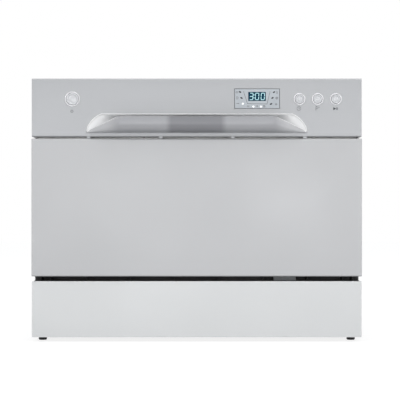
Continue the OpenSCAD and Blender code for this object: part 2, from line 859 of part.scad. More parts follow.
// The grip bulges out of the door in its middle and runs back to the face at both tips
module handle_grip() color("silver") difference() {
    grip_form(0, grip_flat_w / 2, grip_w / 2, cup_low);
    grip_form(grip_wall, grip_flat_w / 2 - grip_wall, grip_w / 2 - 9, cup_low);
}

// Front profile of the grip as [distance out, height]
function grip_profile(wall) = concat(
    [for (a = [0:10:90])
        [-(grip_out - wall) * pow(sin(a), 0.8), wall + (grip_h * 0.62) * (1 - pow(cos(a), 0.9))]],
    wall > 0
        ? [[-(grip_out - wall), grip_h + 20], [2, grip_h + 20], [2, wall]]
        : [[-grip_out * 0.985, grip_h - 1], [-grip_out * 0.95, grip_h], [0, grip_h]]);

module grip_form(wall, half, tip, low) translate([0, face_y, low]) hull() {
    across(-half, half) polygon(grip_profile(wall));
    for (s = [-1, 1]) translate([s * (tip - 0.5), 0, 0])
        across(-0.5, 0.5) span([wall > 0 ? -0.6 : -0.8, wall > 0 ? 2 : 0],
                               [wall > 0 ? wall : 0, wall > 0 ? grip_h + 20 : 2.4]);
}

module release_lever() color("gray") {
    low = cup_low + 8;
    // curved finger plate
    across(-lever_w / 2, lever_w / 2) {
        translate([lever_y, lever_z]) circle(2.6);
        span([lever_y - 1.3, lever_y + 1.3], [low, lever_z]);
        translate([lever_y - 0.3, low]) circle(1.8);
    }
    round_x(lever_y, lever_z, 1.5, -lever_w / 2 - 2.8, lever_w / 2 + 2.8, 32);
}

module display_plate() color("lightcyan") difference() {
    block([plate_x - plate_w / 2, plate_x + plate_w / 2], [face_y, face_y + 1],
          [plate_z - plate_h / 2, plate_z + plate_h / 2]);
    block([plate_x - lcd_w / 2, plate_x + lcd_w / 2], [face_y - 1, face_y + 2],
          [lcd_z - lcd_h / 2, lcd_z + lcd_h / 2]);
}

module display_module() color("darkcyan") {
    block([plate_x - lcd_w / 2 - 2, plate_x + lcd_w / 2 + 2], [face_y + 1 + seat, face_y + 5],
          [lcd_z - lcd_h / 2 - 2, lcd_z + lcd_h / 2 + 2]);
    block([plate_x - lcd_w / 2 - 5, plate_x + lcd_w / 2 + 5], [face_y + 5, board_y - seat],
          [lcd_z - lcd_h / 2 - 6, lcd_z + lcd_h / 2 + 5]);
}

module control_board() color("darkgreen") {
    block([plate_x - 52, buttons[2] + 20], [board_y, board_y + 1.6], [button_z - 22, button_z + 28]);
    for (x = buttons) block([x - 4, x + 4], [board_y - 0.2, board_y + 1], [button_z - 4, button_z + 4]);
    block([plate_x + 8, plate_x + 40], [board_y + 1, board_y + 14], [button_z - 18, button_z + 8]);
    for (x = [-38, -18]) round_y(plate_x + x, button_z - 6, 7, board_y + 1, board_y + 18, 32);
}

module power_switch() color("dimgray") {
    block([-power_x - 13, -power_x + 13], [board_y - 0.2, board_y + 13], [button_z - 11, button_z + 11]);
    block([-power_x - 20, -power_x + 20], [board_y + 12, board_y + 14], [button_z - 11, button_z + 11]);
    for (x = [-16, 16])
        block([-power_x + x - 2, -power_x + x + 2], [face_y + mould_t + seat, board_y + 13],
              [button_z - 6, button_z + 6]);
}

// Ring round a button: bezel on the face and a sleeve in the console's hole
module ring(x, cap_d) translate([x, face_y, button_z]) rotate([90, 0, 0]) rotate_extrude()
    difference() {
        union() {
            span([cap_d / 2 + seat, cap_d / 2 + ring_w - 0.5], [0, 1.3]);
            span([cap_d / 2 + seat, cap_d / 2 + ring_w], [0, 0.7]);
            span([cap_d / 2 + seat, cap_d / 2 + seat + 0.5], [-6, 1]);
        }
    }

module button_rings() color("whitesmoke") {
    ring(-power_x, power_d);
    for (x = buttons) ring(x, button_d);
}

// Push button: dished cap, retaining flange and stem to its switch
module button(x, cap_d) translate([x, face_y, button_z]) rotate([90, 0, 0]) rotate_extrude()
    difference() {
        union() {
            span([0, cap_d / 2], [-7, 1.6]);
            span([0, cap_d / 2 - 0.6], [-7, 2.2]);
            span([0, cap_d / 2 + 1.6], [-8.5, -6.3]);
            span([0, 3], [-board_y + face_y + button_travel + 0.5, 0]);
        }
        translate([0, cap_d * 1.6 + 1.4]) circle(cap_d * 1.6, $fn = 180);
        translate([cap_d * 0.27, 1.5]) span([0, 0.5], [0, 3]);
    }

module power_button() color("silver") button(-power_x, power_d);
module delay_button() color("silver") button(buttons[0], button_d);
module program_button() color("silver") button(buttons[1], button_d);
module start_button() color("silver") button(buttons[2], button_d);

module inner_door_outline(inset) {
    span([-lining_x + inset, lining_x - inset], [notch_top + inset, body_h - 3 - inset]);
    span([-notch_x + inset, notch_x - inset], [door_low + 3.5 + inset, notch_top + inset + 1]);
}

module inner_door() color("lightgray") difference() {
    union() {
        facing(door_back - sheet_t, door_back) inner_door_outline(0);
        facing(door_back - 16, door_back) difference() {
            inner_door_outline(0);
            inner_door_outline(sheet_t);
        }
        // pressed field, raised towards the tub
        facing(door_back, door_back + 2) difference() {
            soft_span([-tub_w / 2 + 22, tub_w / 2 - 22], [hinge_z + 34, tub_top - 22], 20);
            soft_span([-tub_w / 2 + 26, tub_w / 2 - 26], [hinge_z + 38, tub_top - 26], 16);
        }
    }
    block([disp_x[0] - seat, disp_x[1] + seat], [door_back - 5, door_back + 5],
          [disp_z[0] - seat, disp_z[1] + seat]);
    block([-19, 19], [door_back - 5, door_back + 5], [lock_z[1] - 11, lock_z[1] - 0.5]);
}

module door_lower_seal() color("darkslategray") {
    low = hinge_z + 7.5;
    x = tub_w / 2 + 2;
    across(-x, x) {
        span([door_back, door_back + 3], [low, low + 9]);
        span([door_back, tub_front - seat], [low + 2.5, low + 6.5]);
    }
}

module door_lock() color("dimgray") difference() {
    union() {
        block([-30, 30], [door_back - 34, door_back - sheet_t - seat], lock_z);
        block([-18, 18], [door_back - 38, door_back - 33], [lock_z[0] + 4, lock_z[1] - 2]);
    }
    block([-17, 17], [door_back - 30, door_back + 1], [lock_z[1] - 10.5, lock_z[1] - 1]);
}

module dispenser_housing() color("gray") {
    face = door_back + 3;
    difference() {
        union() {
            block(disp_x, [door_back - 34, door_back + 1], disp_z);
            facing(door_back, face)
                soft_span([disp_x[0] - 4, disp_x[1] + 4], [disp_z[0] - 4, disp_z[1] + 4], 5);
        }
        // detergent cup
        facing(door_back - 27, face + 1)
            soft_span([lid_x[0] + 5, lid_x[1] - 5], [disp_z[0] + 11, disp_z[1] - 11], 6);
        // seat of the rinse aid cap
        round_y(rinse_x, rinse_z, rinse_r, face - 9, face + 1);
    }
    // guides that hold the sliding lid
    guide = [lid_x[0] - lid_travel, lid_x[1]];
    for (low = [disp_z[0] + 1, disp_z[1] - 4.7]) block(guide, [face, face + 4], [low, low + 3.7]);
    for (low = [disp_z[0] + 1, disp_z[1] - 7]) block(guide, [face + 3, face + 4], [low, low + 6]);
}

module dispenser_lid() color("silver") {
    y = door_back + 3 + seat;
    block(lid_x, [y, y + 2.4], [disp_z[0] + 5, disp_z[1] - 5]);
    block([lid_x[0] + 6, lid_x[0] + 10], [y + 2, y + 6], [disp_z[0] + 26, disp_z[1] - 26]);
}

module rinse_cap() color("steelblue") {
    y = door_back + 3 + seat;
    grip = rinse_r - 2.7;
    round_y(rinse_x, rinse_z, rinse_r - seat, y - 8, y + 1);
    round_y(rinse_x, rinse_z, rinse_r + 1.8, y, y + 3);
    block([rinse_x - grip, rinse_x + grip], [y + 2, y + 7], [rinse_z - 2, rinse_z + 2]);
}

// Rack and what it carries

module wire_x(y, z, half) round_x(y, z, wire_d / 2, -half, half, 8);
module wire_y(x, z, half) round_y(x, z, wire_d / 2, rack_y - half, rack_y + half, 8);
module wire_z(x, y, z0, z1) round_z(x, y, wire_d / 2, z0, z1, 8);

module rack_floor() color("gainsboro") {
    for (y = cross_ys) wire_x(y, rack_z, rack_w / 2 - wall_end);
    for (x = long_xs) wire_y(x, wire_up, rack_d / 2 - wall_end);
}

module rack_side_walls() color("gainsboro") both_sides() {
    for (y = cross_ys) wire_z(rack_w / 2, y, rack_z - wire_d / 2, rack_top);
    for (z = [wire_up, rack_z + rack_h / 2, rack_top]) wire_y(rack_w / 2, z, rack_d / 2 + wire_d / 2);
}

module rack_end_walls() color("gainsboro")
    for (y = [rack_front, rack_back]) {
        for (x = long_xs) wire_z(x, y, wire_up - wire_d / 2, rack_top);
        for (z = [wire_up, rack_z + rack_h / 2, rack_top]) wire_x(y, z, rack_w / 2 - wall_end);
    }

// Rows of tines that hold plates on edge, each on a foot wire above the floor
module rack_tines() color("gainsboro") {
    foot = wire_up + wire_d + seat;
    for (i = [-1.5, 0.5, 2.5]) {
        wire_y(i * long_pitch, foot, tine_n * tine_pitch + 8);
        for (k = [-tine_n:tine_n])
            wire_z(i * long_pitch, rack_y + k * tine_pitch, foot, wire_up + tine_h);
    }
}

// Side bars clipped to the rack, with the wheel axles
module rack_runners() color("gainsboro") both_sides() {
    x0 = rack_w / 2 + wire_d / 2 + seat;
    x1 = x0 + 3.4;
    block([x0, x1], [front_wheel_y - 20, rear_wheel_y + 20], [wheel_z - 8, wheel_z + 8]);
    for (y = [front_wheel_y, rear_wheel_y]) {
        round_x(y, wheel_z, 5, x1 - 1, wheel_x - seat, 32);
        round_x(y, wheel_z, axle_r, x1 - 1, wheel_x + wheel_w + 1, 32);
    }
}

module wheel(side, y) translate([side * (wheel_x + wheel_w / 2), y, wheel_z]) rotate([0, 90, 0])
    rotate_extrude() difference() {
        span([axle_r + pin_play, wheel_r], [-wheel_w / 2, wheel_w / 2]);
        span([6, wheel_r - 3], [-wheel_w / 2 - 1, -1.5]);
        span([6, wheel_r - 3], [1.5, wheel_w / 2 + 1]);
    }

module wheel_front_left() color("white") wheel(-1, front_wheel_y);
module wheel_front_right() color("white") wheel(1, front_wheel_y);
module wheel_rear_left() color("white") wheel(-1, rear_wheel_y);
module wheel_rear_right() color("white") wheel(1, rear_wheel_y);

module cutlery_basket() color("slategray") {
    x = [basket_x, basket_x + basket_w];
    y = basket_y;
    cell = (y[1] - y[0] - 8) / 3;
    difference() {
        block(x, y, [basket_low, basket_low + basket_h]);
        for (i = [0:2])
            block([x[0] + 2, x[1] - 2], [y[0] + 2 + i * (cell + 2), y[0] + 2 + i * (cell + 2) + cell],
                  [basket_low + 2, basket_low + basket_h + 1]);
        // upright slots in the long walls
        for (i = [0:2], k = [0:3], z = [10, basket_h / 2 + 4])
            block([x[0] - 1, x[1] + 1],
                  [y[0] + 10 + i * (cell + 2) + k * cell * 0.21, y[0] + 17 + i * (cell + 2) + k * cell * 0.21],
                  [basket_low + z, basket_low + z + basket_h * 0.35]);
    }
    // carrying handle over the middle cell
    m = y[0] + 4 + cell;
    bar = [basket_x + basket_w / 2 - 2, basket_x + basket_w / 2 + 2];
    for (s = [m - 2, m + cell])
        block(bar, [s, s + 2], [basket_low + basket_h - 1, basket_low + basket_h + 22]);
    block(bar, [m - 2, m + cell + 2], [basket_low + basket_h + 18, basket_low + basket_h + 22]);
}

module cup_shelf() color("gainsboro") {
    y = shelf_y;
    for (x = [shelf_x + shelf_w, shelf_x + shelf_w / 2])
        round_y(x, shelf_z, 1.6, y[0] - 6, y[1] + 6, 8);
    round_y(shelf_x, shelf_z, 2, y[0] - 6, y[1] + 6, 32);
    for (i = [0:4])
        round_x(y[0] + 12 + i * (y[1] - y[0] - 24) / 4, shelf_z, 1.6, shelf_x, shelf_x + shelf_w, 8);
}

// Clips on the rack's side that carry the shelf's pivot wire
module shelf_clips() color("white")
    for (y = [shelf_y[0] + 24, shelf_y[1] - 30]) difference() {
        block([-rack_w / 2 + wire_d / 2 + seat, shelf_x + 4], [y, y + 8], [shelf_z - 6, shelf_z + 6]);
        round_y(shelf_x, shelf_z, 2 + pin_play, y - 1, y + 9, 32);
    }

outer_casing();
rear_panel();
base_tray();
kick_plate();
deck_clip();
feet();
tub();
door_seal();
sump();
filter_plate();
filter_cup();
spray_hub();
wash_pump();
drain_pump();
heater();
softener();
inlet_valve();
drain_spigot();
cord_gland();
air_break();
float_switch();
rack_rails();
latch_striker();
hinge_brackets();
control_panel();
handle_cup();
handle_grip();
display_plate();
display_module();
control_board();
power_switch();
button_rings();
door_panel();
inner_door();
dispenser_housing();
door_lock();
hinge_arms();
door_lower_seal();
power_button();
delay_button();
program_button();
start_button();
release_lever();
dispenser_lid();
rinse_cap();
spray_arm();
float();
salt_cap();
rack_floor();
rack_side_walls();
rack_end_walls();
rack_tines();
rack_runners();
cutlery_basket();
cup_shelf();
shelf_clips();
wheel_front_left();
wheel_front_right();
wheel_rear_left();
wheel_rear_right();
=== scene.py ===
"""Looks of a countertop dishwasher with a drop door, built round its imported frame.

Every operator dresses one group of pieces. Lengths are in metres. X runs to the right
seen from the front, Y to the back and Z up.
"""
import json
import math

import bmesh
import bpy
from bpy.props import FloatProperty, FloatVectorProperty, IntProperty, PointerProperty
from mathutils import Matrix, Vector

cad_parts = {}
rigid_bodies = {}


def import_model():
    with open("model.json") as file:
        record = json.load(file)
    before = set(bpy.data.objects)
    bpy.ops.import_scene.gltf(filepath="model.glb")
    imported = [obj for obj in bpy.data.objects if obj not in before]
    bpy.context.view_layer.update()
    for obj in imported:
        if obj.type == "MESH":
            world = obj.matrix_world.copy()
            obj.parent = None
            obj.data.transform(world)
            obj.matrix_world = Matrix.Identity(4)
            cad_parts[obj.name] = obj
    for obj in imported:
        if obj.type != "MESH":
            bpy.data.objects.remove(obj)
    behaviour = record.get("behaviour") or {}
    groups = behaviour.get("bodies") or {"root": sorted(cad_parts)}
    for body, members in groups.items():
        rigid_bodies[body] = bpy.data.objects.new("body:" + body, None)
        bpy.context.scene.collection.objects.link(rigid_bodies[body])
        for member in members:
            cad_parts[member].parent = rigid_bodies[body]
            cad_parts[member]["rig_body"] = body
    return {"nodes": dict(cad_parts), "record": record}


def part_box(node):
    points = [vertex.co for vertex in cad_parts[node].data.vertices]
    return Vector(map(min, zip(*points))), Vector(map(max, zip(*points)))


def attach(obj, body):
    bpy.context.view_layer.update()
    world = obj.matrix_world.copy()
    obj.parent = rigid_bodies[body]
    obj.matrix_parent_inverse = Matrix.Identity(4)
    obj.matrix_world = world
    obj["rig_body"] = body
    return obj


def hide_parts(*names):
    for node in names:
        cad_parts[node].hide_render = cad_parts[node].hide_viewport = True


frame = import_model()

bl_info = {
    "name": "Countertop dishwasher looks",
    "version": (1, 0, 0),
    "blender": (4, 5, 0),
    "location": "3D View > Sidebar > Dishwasher",
    "description": "Dresses the packed frame of a countertop dishwasher with its finishes and small parts",
    "category": "Object",
}

NODES = frame["nodes"]
SLOTS = {part["node"]: part["material_slot"] for part in frame["record"]["subparts"]}
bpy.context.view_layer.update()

# Places that the frame gives
FACE_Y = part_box("door_panel")[0].y
GRIP_LOW, GRIP_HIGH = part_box("handle_grip")
CUP_LOW, CUP_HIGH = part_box("handle_cup")
PLATE_LOW, PLATE_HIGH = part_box("display_plate")
RACK_WALLS = ("rack_floor", "rack_side_walls", "rack_end_walls")
RACK_LOW = Vector([min(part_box(node)[0][axis] for node in RACK_WALLS) for axis in range(3)])
RACK_HIGH = Vector([max(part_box(node)[1][axis] for node in RACK_WALLS) for axis in range(3)])
SHELF_LOW, SHELF_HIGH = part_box("cup_shelf")
BUTTONS = ("power_button", "delay_button", "program_button", "start_button")
SEAT = 0.0003  # gap that the frame leaves round a piece in its hole


def middle(node):
    low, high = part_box(node)
    return (low + high) / 2


# Settings

def length(name, text, value):
    return FloatProperty(name=name, description=text, default=value, min=0.0,
                         subtype="DISTANCE", unit="LENGTH", precision=5)


def colour(name, text, value):
    return FloatVectorProperty(name=name, description=text, default=value, size=3,
                               min=0.0, max=1.0, subtype="COLOR")


def number(name, text, value, high, low=0.0):
    return FloatProperty(name=name, description=text, default=value, min=low, max=high)


class PaintSettings(bpy.types.PropertyGroup):
    """Colours of the outside"""
    # The console, door and kick plate are one silver paint in three tones; the difference between them is
    # painted light, for how brightly each panel catches the light.
    console: colour("Console", "Silver of the control console", (0.468, 0.478, 0.493))
    door: colour("Door", "Silver of the door panel", (0.512, 0.518, 0.529))
    kick: colour("Kick plate", "Silver of the kick plate", (0.628, 0.640, 0.645))
    casing: colour("Casing", "Silver of the casing's top and sides", (0.55, 0.56, 0.575))
    grip: colour("Grip", "Silver of the handle grip", (0.49, 0.495, 0.51))
    hollow: colour("Hollow", "Pale plastic of the hollow behind the grip", (0.965, 0.97, 0.975))
    ring: colour("Button rings", "Satin silver of the button rings", (0.76, 0.76, 0.78))
    cap: colour("Button caps", "Satin silver of the button caps", (0.64, 0.65, 0.67))
    plate: colour("Display plate", "Pale film of the display plate", (0.55, 0.59, 0.63))
    ink: colour("Ink", "Dark ink of the printed marks", (0.025, 0.028, 0.035))
    pale_ink: colour("Pale ink", "Grey ink of the lighter marks", (0.16, 0.165, 0.18))
    screen: colour("Screen", "Dark lit ground of the display", (0.001, 0.040, 0.075))
    digits: colour("Digits", "Lit digits of the display", (0.56, 0.93, 1.0))
    dark: colour("Base plastic", "Dark plastic of the base", (0.012, 0.012, 0.013))
    floor: colour("Floor", "Pale grey of the floor", (0.80, 0.80, 0.80))
    sky: colour("Sky", "Tint of the even light from all round", (0.97, 0.98, 1.0))


class HandleSettings(bpy.types.PropertyGroup):
    """Sizes of the grip and the hollow behind it"""
    flat: length("Flat half", "Half the length of the grip's level upper edge", 0.130)
    height: length("Height", "Height of the grip's face", GRIP_HIGH.z - GRIP_LOW.z)
    out: length("Reach", "How far the grip stands out of the door", FACE_Y - GRIP_LOW.y)
    wall: length("Wall", "Wall of the grip", 0.003)
    blend: length("Blend", "Length over which the level part runs into its slanted ends", 0.005)
    tip_out: length("Tip reach", "How far the grip stands out at its tips", 0.0008)
    tip_height: length("Tip height", "Height of the grip at its tips", 0.0024)
    foot: length("Foot", "How far the grip's foot reaches behind the door's face", 0.0015)
    drop: length("Drop", "How far the centres of the corner arcs lie below the hollow", 0.0086)
    floor_edge: length("Floor edge", "Radius of the corners of the hollow's floor", 0.006)
    sheet: length("Sheet", "Thickness of the hollow's floor", 0.0022)
    depth: length("Depth", "Depth of the hollow", CUP_HIGH.y - FACE_Y)
    corner: length("Corner", "Radius of the hollow's outline at its upper corners", 0.042)
    lip: length("Lip", "Width of the raised lip round the hollow", 0.0016)
    bead: length("Bead", "Radius of the pale bead on the grip's upper edge", 0.0012)
    ease: number("Ease", "How gently the hollow's wall starts at its outline", 2.8, 4.0, 1.0)
    curl: number("Curl", "Share of the grip's height that curls under", 0.62, 1.0, 0.1)
    uncurl: number("Uncurl", "How much of that share is lost towards the tips", 0.36, 0.6)


class DetailSettings(bpy.types.PropertyGroup):
    """Sizes of rings, marks, wires and screws"""
    ring_width: length("Ring width", "Width of the rings round the buttons", 0.0026)
    ring_out: length("Ring height", "How far the rings stand out of the console", 0.0013)
    cap_out: length("Cap height", "How far the caps stand out of the console", 0.0022)
    mark: length("Mark", "Thickness of a printed mark", 0.00012)
    line: length("Line", "Width of a fine printed line", 0.00045)
    wire: length("Wire", "Thickness of the rack wires", 0.004)
    fine_wire: length("Fine wire", "Thickness of the rack tines", 0.0032)
    bend: length("Bend", "Radius of the bends in the rack wires", 0.009)
    screw: length("Screw", "Radius of the screw heads", 0.0036)
    edge: length("Edge", "Radius of small edges", 0.0004)
    cap_gap: length("Cap gap", "Gap between a cap and its ring", 0.0003)
    collar: length("Collar", "How far a cap's hidden collar stands out round it", 0.0016)
    tines: IntProperty(name="Tines", description="Plate tines in one row", default=11, min=2, max=20)


class LightSettings(bpy.types.PropertyGroup):
    """Camera and light levels"""
    world: number("World", "Strength of the even light from all round", 0.56, 2.0)
    key: number("Key", "Power of the soft lamp at the left", 10.0, 200.0)
    fill: number("Fill", "Power of the soft lamps at the right and behind", 5.0, 200.0)
    top: number("Top", "Power of the soft lamp above the front", 12.0, 200.0)
    low: number("Low", "Power of the two soft lamps low in front", 2.2, 200.0)
    floor_glow: number("Floor glow", "Brightness of the floor's own share", 1.28, 2.0)
    floor_share: number("Floor share", "Share of the floor that glows and holds no shadow", 0.66, 1.0)
    lens: FloatProperty(name="Lens", description="Focal length of the camera in millimetres",
                        default=140.0, min=20.0, max=300.0, subtype="DISTANCE_CAMERA")
    camera: FloatVectorProperty(name="Camera", description="Place of the camera",
                                default=(0.0055, -2.814, 0.2358), size=3, subtype="TRANSLATION")


def settings(group):
    return getattr(bpy.context.scene, "dishwasher_" + group)


# Materials

class Network:
    """Adds and joins the nodes of one tree."""
    prefix = "ShaderNode"

    def add(self, kind, values=None, **options):
        """New node whose inputs take values, sockets or lists of sockets."""
        made = self.tree.nodes.new(kind if kind.startswith("ShaderNode") else self.prefix + kind)
        for key, value in options.items():
            setattr(made, key, value)
        for key, value in (values or {}).items():
            for one in value if isinstance(value, list) else [value]:
                if isinstance(one, bpy.types.NodeSocket):
                    self.tree.links.new(one, made.inputs[key])
                else:
                    made.inputs[key].default_value = one
        return made


class Shader(Network):
    """Shader tree of a material or of the world."""

    def __init__(self, owner):
        owner.use_nodes = True
        self.tree = owner.node_tree
        self.tree.nodes.clear()

    def highest(self, *values):
        result = values[0]
        for value in values[1:]:
            result = self.add("Math", {0: result, 1: value}, operation="MAXIMUM").outputs[0]
        return result

    def end(self, output, factor, low, high):
        """Ends the tree in a mix of two shaders."""
        mix = self.add("MixShader", {0: factor, 1: low.outputs[0], 2: high.outputs[0]})
        self.add(output, {"Surface": mix.outputs[0]})


class Graph(Shader):
    """Finish of one material, made of patterns on the object's own coordinates."""

    def __init__(self, name):
        self.material = bpy.data.materials.new(name)
        super().__init__(self.material)
        self.out = self.add("OutputMaterial")
        self.place = self.add("TexCoord").outputs["Object"]

    def noise(self, scale, detail=2.0, stretch=None, rough=0.5):
        place = self.place
        if stretch:
            place = self.add("Mapping", {"Vector": place, "Scale": stretch}).outputs[0]
        return self.add("TexNoise", {"Vector": place, "Scale": scale, "Detail": detail,
                                     "Roughness": rough}).outputs["Fac"]

    def ramp(self, factor, low, high, start=0.3, end=0.7):
        """Colours that run from low to high as the factor runs from start to end."""
        made = self.add("ValToRGB", {"Fac": factor})
        for stop, place, value in zip(made.color_ramp.elements, (start, end), (low, high)):
            stop.position = place
            stop.color = (*value, 1.0)
        return made.outputs["Color"]

    def between(self, factor, low, high, start=0.3, end=0.7):
        return self.add("MapRange", {"Value": factor, "From Min": start, "From Max": end,
                                     "To Min": low, "To Max": high}).outputs["Result"]

    def bump(self, height, strength, depth, under=None):
        values = {"Height": height, "Strength": strength, "Distance": depth}
        if under is not None:
            values["Normal"] = under
        return self.add("Bump", values).outputs["Normal"]

    def finish(self, **values):
        """Ends the graph in one surface whose sockets take the values."""
        names = {"base": "Base Color", "metal": "Metallic", "rough": "Roughness", "normal": "Normal",
                 "coat": "Coat Weight", "coat_rough": "Coat Roughness", "grain": "Anisotropic",
                 "glow": "Emission Color", "glow_strength": "Emission Strength",
                 "level": "Specular IOR Level", "sheen": "Sheen Weight"}
        surface = self.add("BsdfPrincipled", {names[key]: value for key, value in values.items()})
        self.tree.links.new(surface.outputs[0], self.out.inputs["Surface"])
        return self.material


def shade(base, factor):
    return tuple(min(1.0, channel * factor) for channel in base)


def satin_paint(name, base, metal=0.35, rough=0.40, coat=0.15):
    """Silver paint: fine flakes, a slight orange peel and faint smears."""
    g = Graph(name)
    flakes = g.noise(1500.0, 1.0)
    smears = g.noise(7.0, 3.0)
    peel = g.bump(g.noise(420.0, 2.0), 0.10, 0.00004)
    grains = g.bump(flakes, 0.06, 0.00003, peel)
    return g.finish(base=g.ramp(flakes, shade(base, 0.955), shade(base, 1.045), 0.35, 0.65), metal=metal,
                    rough=g.between(smears, rough - 0.04, rough + 0.05), coat=coat, coat_rough=0.25,
                    normal=grains)


def grip_paint_painted_light(name, base, reflection_from, reflection_to, ends_from):
    """Silver paint with painted light: darker along the level part, so that the slanted ends stand lighter
    as if they caught more light, and darker again in a zone at its middle as a painted reflection of dark
    surroundings.
    """
    g = Graph(name)
    flakes = g.noise(1500.0, 1.0)
    across = g.add("SeparateXYZ", {"Vector": g.place}).outputs["X"]
    soft = 0.005
    rising = g.between(across, 0.0, 1.0, reflection_from - soft, reflection_from + soft)
    falling = g.between(across, 1.0, 0.0, reflection_to - soft, reflection_to + soft)
    painted_reflection_zone = g.add("Math", {0: rising, 1: falling}, operation="MULTIPLY").outputs[0]
    away = g.add("Math", {0: across}, operation="ABSOLUTE").outputs[0]
    level = g.between(away, 1.0, 0.0, ends_from - 2 * soft, ends_from + 2 * soft)
    paint = g.ramp(flakes, shade(base, 0.955), shade(base, 1.045), 0.35, 0.65)
    # painted light: the level part is darkened as painted shade, and the middle zone is darkened again as a
    # painted dark reflection
    for factor, tone in ((level, 0.78), (painted_reflection_zone, 0.63)):
        painted_shade_mix = g.add("Mix", {"Factor": factor, 6: paint, 7: (tone, tone, tone * 1.02, 1.0)},
                       data_type="RGBA", blend_type="MULTIPLY")
        paint = painted_shade_mix.outputs[2]
    return g.finish(base=paint, metal=0.25, rough=g.between(g.noise(7.0, 3.0), 0.32, 0.40), coat=0.2,
                    coat_rough=0.25, normal=g.bump(flakes, 0.06, 0.00003))


def brushed_steel(name, base, stretch, rough=0.30, metal=1.0):
    """Steel with fine brush lines that run where the stretch is small."""
    g = Graph(name)
    lines = g.noise(1.0, 4.0, stretch, 0.6)
    cloud = g.noise(9.0, 3.0)
    return g.finish(base=g.ramp(lines, shade(base, 0.93), shade(base, 1.05), 0.3, 0.7), metal=metal,
                    rough=g.between(cloud, rough - 0.05, rough + 0.08), grain=0.4,
                    normal=g.bump(lines, 0.12, 0.00004))


def zinc_sheet(name, base):
    """Galvanised sheet with its faint spangle."""
    g = Graph(name)
    spangle = g.add("TexVoronoi", {"Vector": g.place, "Scale": 95.0}).outputs["Color"]
    tone = g.add("SeparateColor", {"Color": spangle}).outputs[0]
    fine = g.noise(600.0, 2.0)
    return g.finish(base=g.ramp(tone, shade(base, 0.90), shade(base, 1.06), 0.0, 1.0), metal=0.85,
                    rough=g.between(tone, 0.36, 0.52, 0.0, 1.0), normal=g.bump(fine, 0.08, 0.00004))


def moulded(name, base, rough=0.45, grain=0.12, metal=0.0, coat=0.0):
    """Moulded plastic with a fine grain and a little mottling."""
    g = Graph(name)
    mottle = g.noise(38.0, 3.0)
    fine = g.noise(1700.0, 2.0)
    flow = g.noise(11.0, 2.0, (1.0, 1.0, 3.0))
    return g.finish(base=g.ramp(mottle, shade(base, 0.95), shade(base, 1.05)), metal=metal,
                    rough=g.between(flow, rough - 0.04, rough + 0.06), coat=coat, coat_rough=0.2,
                    normal=g.bump(fine, grain, 0.00005))


def rubber(name, base):
    """Matt rubber with a little dust."""
    g = Graph(name)
    dust = g.noise(60.0, 4.0)
    fine = g.noise(1300.0, 3.0)
    return g.finish(base=g.ramp(dust, shade(base, 0.8), shade(base, 1.5), 0.4, 0.8),
                    rough=g.between(dust, 0.62, 0.82), sheen=0.1, normal=g.bump(fine, 0.25, 0.00006))


def cast_metal(name, base):
    """Cast housing with fine pits and stains."""
    g = Graph(name)
    pits = g.noise(340.0, 4.0)
    stain = g.noise(14.0, 3.0)
    return g.finish(base=g.ramp(stain, shade(base, 0.8), shade(base, 1.1)), metal=0.8,
                    rough=g.between(stain, 0.45, 0.65), normal=g.bump(pits, 0.35, 0.0002))


def circuit_board(name, base):
    """Green board with a grid of copper tracks."""
    g = Graph(name)
    facing = g.add("Mapping", {"Vector": g.place, "Rotation": (math.pi / 2, 0.0, 0.0)})
    tracks = g.add("TexBrick", {
        "Vector": facing.outputs[0], "Scale": 1.0, "Mortar Size": 0.0004, "Brick Width": 0.009,
        "Row Height": 0.0035, "Color1": (*shade(base, 0.8), 1.0), "Color2": (*shade(base, 1.2), 1.0),
        "Mortar": (*shade(base, 2.2), 1.0)}).outputs
    return g.finish(base=tracks["Color"], rough=g.between(tracks["Fac"], 0.35, 0.25, 0.0, 1.0),
                    coat=0.5, coat_rough=0.2, normal=g.bump(tracks["Fac"], 0.2, 0.00005))


def perforated_steel(name, base):
    """Fine sieve: rows of small holes in steel, painted as dark spots of painted shade with a bump, not cut
    as openings.
    """
    g = Graph(name)
    dots = g.add("TexVoronoi", {"Vector": g.place, "Scale": 520.0, "Randomness": 0.0},
                 voronoi_dimensions="2D").outputs["Distance"]
    # the holes are painted shade: near-black spots where the openings would show darkness
    hole = g.between(dots, 0.0, 1.0, 0.24, 0.34)
    return g.finish(base=g.ramp(hole, (0.03, 0.03, 0.03), base, 0.3, 0.7), metal=0.9,
                    rough=g.between(hole, 0.8, 0.33, 0.0, 1.0), normal=g.bump(hole, 0.5, 0.0003))


def glowing(name, base, strength, ground):
    """Lit face with a slightly uneven brightness."""
    g = Graph(name)
    uneven = g.noise(220.0, 2.0)
    return g.finish(base=g.ramp(uneven, shade(ground, 0.9), shade(ground, 1.1)),
                    rough=g.between(uneven, 0.30, 0.40), glow=g.ramp(uneven, shade(base, 0.93), base),
                    level=0.12, glow_strength=strength)


def printed(name, base):
    """Printing ink of an uneven thickness."""
    g = Graph(name)
    thin = g.noise(900.0, 3.0)
    return g.finish(base=g.ramp(thin, shade(base, 0.85), shade(base, 1.25)),
                    rough=g.between(thin, 0.42, 0.55), normal=g.bump(thin, 0.08, 0.00002))


MATERIALS = {}


